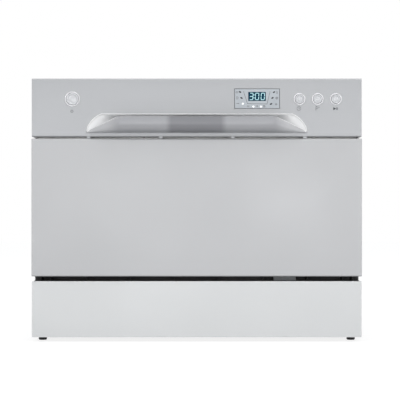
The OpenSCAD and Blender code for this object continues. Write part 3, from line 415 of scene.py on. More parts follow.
def make_materials():
    """One finish for each material slot, and those of the marks and small parts."""
    paint = settings("paint")
    c = {key: tuple(getattr(paint, key)) for key in PaintSettings.__annotations__}
    steel, zinc = (0.60, 0.60, 0.595), (0.56, 0.57, 0.58)
    grey, pale = (0.16, 0.165, 0.175), (0.74, 0.74, 0.72)
    finishes = {
        # these three silvers are lit and shaded copies of one paint: their difference is painted light
        "console_silver": (satin_paint, c["console"]),
        "door_silver": (satin_paint, c["door"]),
        "kick_silver": (satin_paint, c["kick"]),
        "casing_silver": (satin_paint, c["casing"], 0.35, 0.42),
        "galvanised": (zinc_sheet, zinc),
        "tub_steel": (brushed_steel, steel, (14.0, 900.0, 900.0)),
        "base_plastic": (moulded, c["dark"], 0.5, 0.2),
        # this finish holds painted light: a darker level part and a painted dark reflection at the middle
        # of the grip
        "grip_silver": (grip_paint_painted_light, c["grip"], -0.047, 0.045, 0.139),
        "cup_white": (moulded, c["hollow"], 0.34, 0.04, 0.0, 0.3),
        "ring_chrome": (satin_paint, c["ring"], 0.55, 0.22, 0.3),
        "button_silver": (satin_paint, c["cap"], 0.35, 0.30, 0.3),
        "plate_pale": (moulded, c["plate"], 0.30, 0.04, 0.0, 0.4),
        "display_glass": (glowing, c["screen"], 1.0, (0.002, 0.006, 0.010)),
        "rubber_dark": (rubber, (0.045, 0.045, 0.05)),
        "foot_black": (rubber, (0.012, 0.012, 0.012)),
        "inner_plastic": (moulded, grey, 0.42, 0.15),
        "pale_plastic": (moulded, pale, 0.40, 0.12),
        "blue_plastic": (moulded, (0.05, 0.17, 0.42), 0.38, 0.1),
        "rack_coat": (moulded, (0.55, 0.56, 0.58), 0.30, 0.10, 0.0, 0.3),
        "pump_metal": (cast_metal, (0.34, 0.34, 0.36)),
        "board_green": (circuit_board, (0.02, 0.14, 0.06)),
        "clip_grey": (moulded, (0.35, 0.36, 0.38), 0.4, 0.1),
        "sieve": (perforated_steel, steel),
        "ink": (printed, c["ink"]),
        "pale_ink": (printed, c["pale_ink"]),
        "digits": (glowing, c["digits"], 0.85, (0.2, 0.3, 0.3)),
        "lamp": (glowing, (1.0, 1.0, 1.0), 0.9, (0.6, 0.6, 0.6)),
        "screw_steel": (brushed_steel, (0.62, 0.62, 0.63), (300.0, 300.0, 300.0), 0.28),
    }
    for name, (make, *values) in finishes.items():
        MATERIALS[name] = make(name, *values)


# Mesh helpers

def sweep(end, steps):
    """Angles from zero to the end in even steps."""
    return [end * i / steps for i in range(steps + 1)]


def new_object(name, mesh):
    made = bpy.data.objects.new(name, mesh)
    bpy.context.scene.collection.objects.link(made)
    return made


def as_mesh(name, bm):
    mesh = bpy.data.meshes.new(name)
    bm.to_mesh(mesh)
    bm.free()
    return mesh


def mark_edges(bm, sharp):
    """Smooths the edges that bend by less than the sharp angle."""
    for edge in bm.edges:
        edge.smooth = len(edge.link_faces) == 2 and edge.calc_face_angle(0.0) < math.radians(sharp)


def settle(name, mesh, body, slot, stands_for):
    """Puts a mesh on its body and hides the nodes that it stands for; the slot is not used."""
    made = new_object(name, mesh)
    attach(made, body)
    if stands_for:
        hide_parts(*stands_for)
    return made


def piece(name, bm, material, body, slot=None, stands_for=(), sharp=32.0):
    """Turns a finished bmesh into a piece that rides on a body."""
    mark_edges(bm, sharp)
    for face in bm.faces:
        face.smooth = True
    mesh = as_mesh(name, bm)
    mesh.materials.append(MATERIALS[material])
    return settle(name, mesh, body, slot, stands_for)


def body_of(node):
    return NODES[node]["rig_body"]


def dressed(node, edge=None, material=None, sharp=32.0):
    """Copy of a CAD node with joined faces, rounded small edges and smooth curves."""
    bm = bmesh.new()
    bm.from_mesh(NODES[node].data)
    bmesh.ops.remove_doubles(bm, verts=bm.verts[:], dist=4e-6)
    bmesh.ops.dissolve_limit(bm, angle_limit=math.radians(0.5), verts=bm.verts[:],
                             edges=bm.edges[:], use_dissolve_boundaries=False)
    slot = SLOTS[node]
    made = piece(node + "_finish", bm, material or slot, body_of(node), slot, [node], sharp)
    width = settings("detail").edge if edge is None else edge
    if width:
        rounding = made.modifiers.new("edges", "BEVEL")
        rounding.width = width
        rounding.segments = 2
        rounding.limit_method = "ANGLE"
        rounding.angle_limit = math.radians(40.0)
        rounding.use_clamp_overlap = True
        rounding.harden_normals = True
    return made


def merged(parts):
    """One bmesh from several finished ones."""
    whole = bmesh.new()
    for part in parts:
        held = as_mesh("part", part)
        whole.from_mesh(held)
        bpy.data.meshes.remove(held)
    return whole


def add_block(bm, size, centre):
    verts = bmesh.ops.create_cube(bm, size=1.0)["verts"]
    bmesh.ops.scale(bm, vec=size, verts=verts)
    bmesh.ops.translate(bm, vec=centre, verts=verts)


def lathe(profile, centre, axis="Y", steps=64):
    """Closed ring surface: the profile holds [radius, distance along the axis] pairs."""
    bm = bmesh.new()
    rows = []
    turns = sweep(2 * math.pi, steps)[:-1]
    for radius, along in profile:
        if radius < 1e-7:
            rows.append([bm.verts.new((0.0, 0.0, along))] * steps)
        else:
            rows.append([bm.verts.new((radius * math.cos(a), radius * math.sin(a), along)) for a in turns])
    for low, high in zip(rows, rows[1:]):
        for i in range(steps):
            k = (i + 1) % steps
            corners = []
            for vert in (low[i], low[k], high[k], high[i]):
                if vert not in corners:
                    corners.append(vert)
            if len(corners) > 2:
                bm.faces.new(corners)
    turn = {"Y": Matrix.Rotation(math.pi / 2, 4, "X"), "X": Matrix.Rotation(math.pi / 2, 4, "Y"),
            "Z": Matrix.Identity(4)}[axis]
    bmesh.ops.transform(bm, matrix=Matrix.Translation(centre) @ turn, verts=bm.verts[:])
    bmesh.ops.recalc_face_normals(bm, faces=bm.faces[:])
    return bm


def bridge(bm, rows):
    """Faces between neighbouring rings of corners."""
    for low, high in zip(rows, rows[1:]):
        for i in range(len(low)):
            k = (i + 1) % len(low)
            bm.faces.new((low[i], low[k], high[k], high[i]))


def loft(rows):
    """Closed surface through rings of points; each ring has the same number of points."""
    bm = bmesh.new()
    grid = [[bm.verts.new(p) for p in row] for row in rows]
    bridge(bm, grid)
    bm.faces.new(reversed(grid[0]))
    bm.faces.new(grid[-1])
    bmesh.ops.recalc_face_normals(bm, faces=bm.faces[:])
    return bm


# Geometry nodes

class Tree(Network):
    """Geometry tree with named inputs."""
    prefix = "GeometryNode"

    def __init__(self, name, **inputs):
        self.tree = bpy.data.node_groups.new(name, "GeometryNodeTree")
        self.tree.interface.new_socket("Geometry", in_out="INPUT", socket_type="NodeSocketGeometry")
        self.ids = {}
        for key, value in inputs.items():
            kind = {float: "NodeSocketFloat", int: "NodeSocketInt"}.get(type(value), "NodeSocketVector")
            socket = self.tree.interface.new_socket(key, in_out="INPUT", socket_type=kind)
            socket.default_value = value
            self.ids[key] = socket.identifier
        self.tree.interface.new_socket("Geometry", in_out="OUTPUT", socket_type="NodeSocketGeometry")
        self.given = self.tree.nodes.new("NodeGroupInput")
        self.result = self.tree.nodes.new("NodeGroupOutput")

    def get(self, key):
        return self.given.outputs[key]

    def end(self, geometry, material):
        real = self.add("RealizeInstances", {"Geometry": geometry})
        smooth = self.add("SetShadeSmooth", {"Geometry": real.outputs[0]})
        painted = self.add("SetMaterial", {"Geometry": smooth.outputs[0], "Material": MATERIALS[material]})
        self.tree.links.new(painted.outputs[0], self.result.inputs[0])


def grown(name, bm, tree, values, body, slot=None, stands_for=(), sharp=35.0):
    """Runs a geometry tree on a guide mesh and keeps the result as a plain piece."""
    guide = new_object(name + "_guide", as_mesh(name + "_guide", bm))
    growth = guide.modifiers.new("growth", "NODES")
    growth.node_group = tree.tree
    for key, value in values.items():
        growth[tree.ids[key]] = value
    bpy.context.view_layer.update()
    result = bpy.data.meshes.new_from_object(guide.evaluated_get(bpy.context.evaluated_depsgraph_get()))
    if not result.polygons:
        raise RuntimeError(name + ": the geometry tree gave no faces")
    bpy.data.objects.remove(guide)
    result.name = name
    marked = bmesh.new()
    marked.from_mesh(result)
    bmesh.ops.remove_doubles(marked, verts=marked.verts[:], dist=1e-7)
    mark_edges(marked, sharp)
    marked.to_mesh(result)
    marked.free()
    return settle(name, result, body, slot, stands_for)


def wire_tree(name, material):
    """Bent wire along every guide line."""
    t = Tree(name, **{"Radius": 0.002, "Bend": 0.009, "Sides": 12})
    line = t.add("MeshToCurve", {"Mesh": t.get("Geometry")})
    bent = t.add("FilletCurve", {"Curve": line.outputs[0], "Count": 6, "Radius": t.get("Bend"),
                                 "Limit Radius": True}, mode="POLY")
    round_wire = t.add("CurvePrimitiveCircle", {"Resolution": t.get("Sides"), "Radius": t.get("Radius")})
    body = t.add("CurveToMesh", {"Curve": bent.outputs[0], "Profile Curve": round_wire.outputs[0],
                                 "Fill Caps": True})
    t.end(body.outputs[0], material)
    return t


def screw_tree(name, material):
    """Pan head with a cross recess at every guide point, all facing one way."""
    t = Tree(name, **{"Radius": 0.0036, "Height": 0.0018, "Turn": (0.0, 0.0, 0.0)})
    head = t.add("MeshUVSphere", {"Segments": 28, "Rings": 12, "Radius": 1.0})
    radius = t.get("Radius")
    size = t.add("ShaderNodeCombineXYZ", {"X": radius, "Y": radius, "Z": t.get("Height")})
    flat = t.add("Transform", {"Geometry": head.outputs[0], "Scale": size.outputs[0]})
    cuts = []
    for bar_size in ((1.05, 0.26, 1.0), (0.26, 1.05, 1.0)):
        bar = t.add("MeshCube", {"Size": bar_size})
        scaled = t.add("ShaderNodeVectorMath", {0: (1.0, 1.0, 1.0), "Scale": radius}, operation="SCALE")
        lifted = t.add("ShaderNodeCombineXYZ", {"Z": radius})
        placed = t.add("Transform", {"Geometry": bar.outputs[0], "Scale": scaled.outputs[0],
                                     "Translation": lifted.outputs[0]})
        cuts.append(placed.outputs[0])
    cut = t.add("MeshBoolean", {"Mesh 1": flat.outputs[0], "Mesh 2": cuts}, operation="DIFFERENCE")
    spread = t.add("InstanceOnPoints", {"Points": t.get("Geometry"), "Instance": cut.outputs[0],
                                        "Rotation": t.get("Turn")})
    t.end(spread.outputs[0], material)
    return t


def guide_lines(lines):
    """Mesh of loose edges through lists of points; a list that ends where it starts is closed."""
    bm = bmesh.new()
    for points in lines:
        closed = points[0] == points[-1]
        verts = [bm.verts.new(p) for p in (points[:-1] if closed else points)]
        for one, other in zip(verts, verts[1:]):
            bm.edges.new((one, other))
        if closed:
            bm.edges.new((verts[-1], verts[0]))
    return bm


def guide_points(points):
    bm = bmesh.new()
    for p in points:
        bm.verts.new(p)
    return bm


def wired(name, lines, wires, size, body, node, stands_for=()):
    """Wires along guide lines; size is their radius, bend and number of sides."""
    values = dict(zip(("Radius", "Bend", "Sides"), size))
    return grown(name, guide_lines(lines), wires, values, body, SLOTS[node], stands_for)


# Printed marks

class Marks:
    """Flat printed shapes on the front, given in X and Z and raised by the ink's thickness."""

    def __init__(self, face_y, thick):
        self.bm = bmesh.new()
        self.back, self.front = face_y + 0.00005, face_y - thick

    def polygon(self, points):
        front = [self.bm.verts.new((x, self.front, z)) for x, z in points]
        back = [self.bm.verts.new((x, self.back, z)) for x, z in points]
        self.bm.faces.new(front)
        self.bm.faces.new(reversed(back))
        for i in range(len(points)):
            k = (i + 1) % len(points)
            self.bm.faces.new((front[k], front[i], back[i], back[k]))

    def disc(self, x, z, rx, rz=None, steps=20, tilt=0.0):
        rz = rx if rz is None else rz
        points = []
        for i in range(steps):
            a = 2 * math.pi * i / steps
            u, v = rx * math.cos(a), rz * math.sin(a)
            points.append((x + u * math.cos(tilt) - v * math.sin(tilt),
                           z + u * math.sin(tilt) + v * math.cos(tilt)))
        self.polygon(points)

    def stroke(self, points, width, joints=True):
        for (x0, z0), (x1, z1) in zip(points, points[1:]):
            run = math.hypot(x1 - x0, z1 - z0)
            nx, nz = (z0 - z1) / run * width / 2, (x1 - x0) / run * width / 2
            self.polygon([(x0 + nx, z0 + nz), (x0 - nx, z0 - nz),
                          (x1 - nx, z1 - nz), (x1 + nx, z1 + nz)])
        if joints:
            for x, z in points:
                self.disc(x, z, width / 2, steps=10)

    def arc(self, x, z, radius, start, end, width, steps=24):
        turn = [math.radians(start + (end - start) * i / steps) for i in range(steps + 1)]
        self.stroke([(x + radius * math.cos(a), z + radius * math.sin(a)) for a in turn], width, False)

    def done(self, name, material, body, slot=None):
        bmesh.ops.recalc_face_normals(self.bm, faces=self.bm.faces[:])
        return piece(name, self.bm, material, body, slot)


# The grip

def grip_outer(share, reach, height, curl):
    """Front of the grip as (distance out, height): it curls under below and stands upright above."""
    a = share * math.pi / 2
    return reach * math.sin(a) ** 0.8, height * curl * (1.0 - math.cos(a) ** 0.9)


def grip_size(x, s):
    """Share along the slanted end, reach, height and rim of the grip at one place."""
    slant = GRIP_HIGH.x - s.flat
    run, soft = (abs(x) - s.flat) / slant, s.blend / slant
    if run < -soft:
        run = 0.0
    elif run < soft:
        run = (run + soft) ** 2 / (4 * soft)
    reach = s.out * (1.0 - run) + s.tip_out * run
    height = s.height * (1.0 - run) + s.tip_height * run
    return run, reach, height, min(s.wall / 2, height * 0.3, reach * 0.4)


def grip_section(x, s):
    """Closed section of the grip at one place along it."""
    run, reach, height, rim = grip_size(x, s)
    foot = -s.foot * (1.0 - run)
    wall = min(s.wall, 0.42 * reach + 0.0002)
    curl = s.curl - s.uncurl * run
    outer = [grip_outer(i / 16, reach, height, curl) for i in range(17)]
    centre_out, centre_up = reach * 0.985 - rim, height - rim
    outer.append((reach * 0.992, min(height * 0.85, height - rim * 1.05)))
    outer += [(centre_out + rim * math.cos(a), centre_up + rim * math.sin(a))
              for a in sweep(math.pi, 10)]
    inner = []
    for i in range(14, -1, -1):
        out, up = grip_outer(i / 16, reach - wall, height, curl)
        inner.append((max(out, 0.0), min(up + wall * 0.9, height - wall)))
    inner[-1] = (foot, inner[-1][1])
    return [(x, FACE_Y - out, GRIP_LOW.z + up) for out, up in outer + inner + [(foot, 0.0)]]


def make_bead(s):
    """Pale bead of the hollow that lies on the grip's upper edge."""
    line = []
    count = 120
    for i in range(count + 1):
        x = (GRIP_HIGH.x - 0.002) * (2.0 * i / count - 1.0)
        _, reach, height, rim = grip_size(x, s)
        line.append((x, FACE_Y - (reach * 0.985 - rim), GRIP_LOW.z + height - s.bead))
    return wired("grip_bead", [line], wire_tree("bead", "cup_white"), (s.bead, 0.0, 14), "door",
                 "handle_cup")


def make_grip():
    s = settings("handle")
    half = GRIP_HIGH.x
    level, slanted = 12, 34
    places = [s.flat * 0.92 * i / level for i in range(level)]
    places += [s.flat * 0.92 + (half - s.flat * 0.92) * i / slanted for i in range(slanted + 1)]
    stations = [-x for x in reversed(places[1:])] + places
    bm = loft([grip_section(x, s) for x in stations])
    return piece("grip", bm, "grip_silver", "door", SLOTS["handle_grip"], ["handle_grip"], 50.0)


def mirrored(right, low, high, count=48):
    """Closed outline from its right side, with level edges of count steps above and below."""
    left = [(-x, z) for x, z in reversed(right)]
    top = [(right[-1][0] * (1 - 2 * i / count), high) for i in range(1, count)]
    bottom = [(left[-1][0] * (1 - 2 * i / count), low) for i in range(1, count)]
    return right + top + left + bottom


def hollow_outline(inset):
    """Outline of the hollow on the door's face as (x, z): level edges and round upper corners."""
    s = settings("handle")
    low, high = CUP_LOW.z + max(inset, 0.0), CUP_HIGH.z - inset
    corner = s.corner - inset
    middle_z = CUP_LOW.z - s.drop
    middle_x = CUP_HIGH.x - math.sqrt(s.corner ** 2 - (s.drop - SEAT) ** 2)
    start = math.asin((low - middle_z) / corner)
    end = math.asin(min(1.0, (high - middle_z) / corner))
    right = []
    for i in range(17):
        turn = start + (end - start) * i / 16
        # the lip runs out towards the lower tips
        radius = corner + min(inset, 0.0) * max(0.0, 1.0 - i / 4)
        right.append((middle_x + radius * math.cos(turn), middle_z + radius * math.sin(turn)))
    return mirrored(right, low, high)


def hollow_back(inset):
    """Outline of the hollow's floor with the same number of points."""
    s = settings("handle")
    half, low, high = s.flat - inset, CUP_LOW.z + 0.003 + inset, CUP_HIGH.z - 0.001 - inset
    radius = s.floor_edge - min(inset, 0.004)
    right = []
    for i in range(17):
        if i < 8:
            a, centre_z = math.pi / 2 * (i / 8 - 1), low + radius
        else:
            a, centre_z = math.pi / 2 * (i / 8 - 1), high - radius
        right.append((half - radius + radius * math.cos(a), centre_z + radius * math.sin(a)))
    return mirrored(right, low, high)


def make_hollow():
    """Bowl behind the grip with a raised lip round its outline."""
    s = settings("handle")
    lip, proud = s.lip, 0.0005
    rows = []
    # the lip lies on the console's edge and rolls into the bowl
    for inset, out in ((-lip, 0.00002), (-lip + 0.00025, proud * 0.8), (-lip * 0.5, proud),
                       (-0.00002, proud * 0.75), (0.0003, 0.0001), (0.00045, -0.0008)):
        rows.append([(x, FACE_Y - out, z) for x, z in hollow_outline(inset)])
    front, back = hollow_outline(0.0006), hollow_back(0.002)
    steps, start = 14, 0.0012
    for i in range(1, steps + 1):
        share = i / steps
        y = FACE_Y + start + (s.depth - s.sheet - start) * share ** s.ease
        rows.append([(fx + (bx - fx) * share, y, fz + (bz - fz) * share)
                     for (fx, fz), (bx, bz) in zip(front, back)])
    # rounded foot of the bowl's wall, then its floor
    for inset, drop in ((0.0024, 0.0006), (0.0036, 0.0010)):
        rows.append([(x, FACE_Y + s.depth - s.sheet + drop, z) for x, z in hollow_back(inset)])
    inside = len(rows)
    # outer skin of the bowl, back to the lip
    rows.append([(x, FACE_Y + s.depth - 0.0002, z) for x, z in hollow_back(0.0005)])
    rows.append([(x, FACE_Y + 0.003, z) for x, z in hollow_outline(0.00002)])
    rows.append([(x, FACE_Y - 0.00001, z) for x, z in hollow_outline(0.00001)])
    bm = bmesh.new()
    grid = [[bm.verts.new(p) for p in row] for row in rows]
    bridge(bm, grid[:inside])
    bm.faces.new(grid[inside - 1])
    bm.faces.new(list(reversed(grid[inside])))
    bridge(bm, grid[inside:] + grid[:1])
    # ears that carry the lever's pin
    lever_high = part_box("release_lever")[1]
    for side in (-1, 1):
        add_block(bm, (0.0027, 0.010, 0.008), (side * (lever_high.x - 0.00115), FACE_Y + s.depth - 0.006,
                                               lever_high.z - 0.0026))
    bmesh.ops.recalc_face_normals(bm, faces=bm.faces[:])
    return piece("grip_hollow", bm, "cup_white", "door", SLOTS["handle_cup"], ["handle_cup"], 38.0)


# The console

def make_ring(node):
    """Rounded satin ring in its hole, with a sleeve behind it."""
    d = settings("detail")
    low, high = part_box(node)
    cap = (high.x - low.x) / 2 - d.collar
    inner = cap + d.cap_gap
    half = (d.ring_width - d.cap_gap) / 2
    crown = [(inner + half - half * math.cos(a), d.ring_out * math.sin(a) ** 0.7)
             for a in sweep(math.pi, 16)]
    profile = [(inner, -0.006)] + crown + [(inner + 0.0005, 0.0), (inner + 0.0005, -0.006), (inner, -0.006)]
    where = middle(node)
    return lathe(profile, (where.x, FACE_Y, where.z))


def make_rings():
    whole = merged([make_ring(node) for node in BUTTONS])
    bmesh.ops.remove_doubles(whole, verts=whole.verts[:], dist=1e-6)
    bmesh.ops.recalc_face_normals(whole, faces=whole.faces[:])
    piece("button_rings_finish", whole, "ring_chrome", "door", SLOTS["button_rings"],
          ["button_rings"], 60.0)


def make_cap(node):
    """Push button cap: rounded rim, dished face and a small raised centre."""
    d = settings("detail")
    low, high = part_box(node)
    radius = (high.x - low.x) / 2 - d.collar
    stem, out = high.y - FACE_Y, d.cap_out
    rim = [(radius - 0.0008 + 0.0008 * math.cos(a), out - 0.0008 + 0.0008 * math.sin(a))
           for a in sweep(math.pi / 2, 8)]
    dish = [(radius * 0.80, out - 0.0001), (radius * 0.74, out - 0.0004), (radius * 0.70, out - 0.0010),
            (radius * 0.66, out - 0.0013), (radius * 0.60, out - 0.0012)]
    bead = [(radius * share, out - 0.0003 - 0.0008 * (share / 0.55) ** 2)
            for share in (0.55, 0.46, 0.38, 0.30, 0.2, 0.1)] + [(0.0, out - 0.0003)]
    wide = radius + d.collar
    profile = [(0.0, -stem), (0.003, -stem), (0.003, -0.0085), (wide, -0.0085), (wide, -0.0063),
               (radius, -0.0063)] + rim + dish + bead
    where = middle(node)
    bm = lathe(profile, (where.x, FACE_Y, where.z))
    return piece(node + "_cap", bm, "button_silver", body_of(node), SLOTS[node], [node], 40.0)


def print_console():
    """Small marks under the buttons: power, clock, programme letter, start and pause."""
    d = settings("detail")
    under = {node: middle(node) for node in BUTTONS}
    pale = Marks(FACE_Y, d.mark)
    x, z = under["power_button"].x - 0.0006, under["power_button"].z - 0.0205
    pale.arc(x, z, 0.0020, 120.0, 420.0, d.line * 1.8)
    pale.stroke([(x, z + 0.0004), (x, z + 0.0028)], d.line * 1.8)
    x, z = under["delay_button"].x - 0.0009, under["delay_button"].z - 0.0158
    pale.arc(x, z, 0.0032, 0.0, 360.0, d.line * 1.6, 30)
    pale.stroke([(x, z + 0.0021), (x, z), (x + 0.0016, z - 0.0009)], d.line * 1.3)
    x, z = under["program_button"].x - 0.0011, under["program_button"].z - 0.0158
    pale.stroke([(x - 0.0018, z - 0.0030), (x - 0.0018, z + 0.0030), (x, z + 0.0030)], d.line * 1.8)
    pale.arc(x, z + 0.0013, 0.0017, 90.0, -90.0, d.line * 1.8, 12)
    pale.stroke([(x, z - 0.0004), (x - 0.0018, z - 0.0004)], d.line * 1.8)
    pale.polygon([(x + 0.0028, z + 0.0009), (x + 0.0028, z + 0.0033), (x + 0.0047, z + 0.0021)])
    pale.done("console_marks_pale", "pale_ink", "door", SLOTS["display_plate"])
    dark = Marks(FACE_Y, d.mark)
    x, z = under["start_button"].x - 0.0014, under["start_button"].z - 0.0160
    dark.polygon([(x - 0.0026, z - 0.0026), (x + 0.0018, z), (x - 0.0026, z + 0.0026)])
    for shift in (0.0028, 0.0045):
        dark.stroke([(x + shift, z - 0.0021), (x + shift, z + 0.0021)], d.line * 1.8, False)
    dark.done("console_marks_dark", "ink", "door", SLOTS["display_plate"])


# The display

SEGMENTS = {"0": "abcdef", "3": "abcdg"}


def digit(marks, x, z, wide, tall, stroke, shown, lean=0.06):
    """Seven segment digit with pointed ends, its lower left corner at x, z."""
    gap = stroke * 0.12
    mid = tall / 2
    lines = {"a": ((0, tall), (wide, tall)), "g": ((0, mid), (wide, mid)), "d": ((0, 0), (wide, 0)),
             "f": ((0, mid), (0, tall)), "b": ((wide, mid), (wide, tall)),
             "e": ((0, 0), (0, mid)), "c": ((wide, 0), (wide, mid))}
    for key in SEGMENTS[shown]:
        (x0, z0), (x1, z1) = lines[key]
        run = math.hypot(x1 - x0, z1 - z0)
        ux, uz = (x1 - x0) / run, (z1 - z0) / run
        half = stroke / 2
        points = []
        for along, side in ((gap, 0), (gap + half, half), (run - gap - half, half), (run - gap, 0),
                            (run - gap - half, -half), (gap + half, -half)):
            px = x0 + ux * along - uz * side
            pz = z0 + uz * along + ux * side
            points.append((x + px + pz * lean, z + pz))
        marks.polygon(points)


# Small line drawings, in shares of their size: lists are strokes, and the others are arcs given as
# centre, radius, first and last angle and steps
ICONS = {
    "pot": ([(-1, 0.5), (-0.8, -0.7), (0.8, -0.7), (1, 0.5), (-1, 0.5)], [(-0.3, 1), (0.3, 1)]),
    "cup": ([(-0.8, 1), (-0.8, -1), (0.5, -1), (0.5, 1), (-0.8, 1)], (0.5, 0, 0.5, -80.0, 80.0, 10)),
    "knife": ([(-1.3, 0), (1.1, 0), (0.8, 0.35), (-0.2, 0.35)],),
    "glass": ([(-0.6, 1), (-0.4, 0.1), (0.4, 0.1), (0.6, 1)], [(0, 0.1), (0, -1)], [(-0.5, -1), (0.5, -1)]),
    "plate": ((0, 0, 1, 0.0, 360.0, 22), (0, 0, 0.55, 0.0, 360.0, 16)),
    "drop": ((0, -0.3, 0.6, -210.0, 30.0, 14), [(-0.52, 0), (0, 1), (0.52, 0)]),
    "basin": ((0, 0.3, 1, 180.0, 360.0, 14), [(-1.2, 0.3), (1.2, 0.3)]),
    "star": tuple([(-math.cos(a), -math.sin(a)), (math.cos(a), math.sin(a))]
                  for a in [math.radians(60.0 * turn + 30.0) for turn in range(3)]),
}


def icon(marks, kind, x, z, size, width):
    for shape in ICONS[kind]:
        if isinstance(shape, list):
            marks.stroke([(x + u * size, z + v * size) for u, v in shape], width)
        else:
            u, v, radius, start, end, steps = shape
            marks.arc(x + u * size, z + v * size, radius * size, start, end, width, steps)


def make_display():
    """Printed plate with its outline, lamps and icons, and the lit clock behind its window."""
    d = settings("detail")
    dressed("display_plate", 0.0002)
    dressed("display_module", 0.0003, "inner_plastic")
    mid = middle("display_plate")
    half_w, half_h = (PLATE_HIGH.x - PLATE_LOW.x) / 2, (PLATE_HIGH.z - PLATE_LOW.z) / 2

    def at(x, z):
        return mid.x + x / 1000.0, mid.z + z / 1000.0

    lines = Marks(FACE_Y, d.mark)
    edge_x, edge_z = half_w * 1000 - 0.5, half_h * 1000 - 0.5
    corners = ((-1, -1), (1, -1), (1, 1), (-1, 1), (-1, -1))
    lines.stroke([at(u * edge_x, v * edge_z) for u, v in corners], d.line * 1.7)
    lines.stroke([at(-22.5, 12.0), at(-15.9, -8.2), at(16.6, -8.8), at(21.6, 12.0)], d.line * 1.5)
    lines.done("display_lines", "pale_ink", "door", SLOTS["display_plate"])

    icons = Marks(FACE_Y, d.mark)
    for kind, x, z, size in (
            ("pot", -33.6, 10.6, 1.7), ("cup", -33.0, 1.2, 1.9), ("knife", -32.0, -8.3, 1.9),
            ("glass", 33.3, 10.4, 1.9), ("plate", 32.8, 1.0, 1.9), ("star", 31.8, -9.2, 1.9),
            ("basin", -14.6, -12.4, 1.6), ("drop", 0.2, -12.4, 1.5), ("cup", 12.0, -12.6, 1.5)):
        px, pz = at(x, z)
        icon(icons, kind, px, pz, size / 1000.0, d.line * 1.15)
    icons.done("display_icons", "pale_ink", "door", SLOTS["display_plate"])

    dark = Marks(FACE_Y, d.mark)
    for x, z in ((-28.3, 11.1), (-25.9, 1.2)):
        dark.disc(*at(x, z), 0.0022, 0.0013, tilt=-0.5)
    for x, z in ((28.2, 10.8), (25.7, 1.2), (23.2, -8.8)):
        dark.disc(*at(x, z), 0.0022, 0.0013, tilt=0.5)
    dark.done("display_lamps_off", "ink", "door", SLOTS["display_plate"])
    lit = Marks(FACE_Y, d.mark * 1.4)
    for x, z in ((-23.6, -8.4), (-6.1, -13.2), (6.6, -13.2)):
        lit.disc(*at(x, z), 0.0017, 0.0014)
    lit.done("display_lamps_lit", "lamp", "door", SLOTS["display_plate"])

    window_low, window_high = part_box("display_module")
    glass = bmesh.new()
    wide, tall = window_high.x - window_low.x - 0.0102, window_high.z - window_low.z - 0.0114
    centre_x, centre_z = (window_low.x + window_high.x) / 2, mid.z + 0.0037
    add_block(glass, (wide, 0.0011, tall), (centre_x, FACE_Y + 0.0008, centre_z))
    bmesh.ops.bevel(glass, geom=glass.edges[:], offset=0.0001, segments=2, affect="EDGES")
    piece("display_screen", glass, "display_glass", "door", SLOTS["display_module"])
    clock = Marks(FACE_Y + 0.00025, d.mark)
    digit_mm = 10.9
    for shown, x in (("3", -12.5), ("0", -2.9), ("0", 6.6)):
        px, pz = at(x, 3.7 - digit_mm / 2)
        digit(clock, px, pz, 0.0054, digit_mm / 1000.0, 0.00105, shown)
    for z in (1.4, 6.2):
        clock.disc(*at(-4.9, z), 0.0008, steps=12)
    clock.done("display_digits", "digits", "door", SLOTS["display_module"])


# The rack

def make_rack():
    """Wire rack with bent corners, and its rows of plate tines."""
    d = settings("detail")
    low, high = RACK_LOW, RACK_HIGH
    r = d.wire / 2
    x1, y0, y1 = high.x - r, low.y + r, high.y - r
    z0, z1 = low.z + r, high.z - r
    up = z0 + d.wire - 0.0005
    mid_y = (y0 + y1) / 2
    lines = []
    pitch_y, pitch_x = 0.038, x1 / 5
    for i in range(-4, 5):
        y = mid_y + i * pitch_y
        lines.append([(-x1, y, z1 - 0.002), (-x1, y, z0), (x1, y, z0), (x1, y, z1 - 0.002)])
    for i in range(10):
        x = (i - 4.5) * pitch_x
        lines.append([(x, y0, z1 - 0.002), (x, y0, up), (x, y1, up), (x, y1, z1 - 0.002)])
    for z in (z1, (z0 + z1) / 2):
        lines.append([(-x1, y0, z), (x1, y0, z), (x1, y1, z), (-x1, y1, z), (-x1, y0, z)])
    lines.append([(-x1, y0, up), (x1, y0, up), (x1, y1, up), (-x1, y1, up), (-x1, y0, up)])
    wires = wire_tree("rack_wires", "rack_coat")
    wired("rack_wires", lines, wires, (r, d.bend, 14), "rack", "rack_floor", RACK_WALLS)
    tines = []
    comb_low, comb_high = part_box("rack_tines")
    foot, low_y, high_y = comb_low.z + r, comb_low.y, comb_high.y
    for i in (-1.5, 0.5, 2.5):
        x = i * pitch_x
        for k in range(d.tines):
            y = mid_y + (k - (d.tines - 1) / 2) * 0.027
            tines.append([(x, y, foot), (x, y, up + 0.062)])
    feet = [[(line[0][0], low_y, foot), (line[0][0], high_y, foot)] for line in tines[::d.tines]]
    wired("rack_tines", tines, wires, (d.fine_wire / 2, 0.001, 12), "rack", "rack_tines", ["rack_tines"])
    wired("rack_tine_feet", feet, wires, (r, 0.001, 14), "rack", "rack_tines")
    tips = bmesh.new()
    for line in tines:
        ball = bmesh.ops.create_uvsphere(tips, u_segments=12, v_segments=8, radius=d.fine_wire * 0.62)
        sunk = Vector(line[1]) - Vector((0, 0, d.fine_wire * 0.3))
        bmesh.ops.translate(tips, vec=sunk, verts=ball["verts"])
    piece("rack_tine_tips", tips, "rack_coat", "rack", SLOTS["rack_tines"])


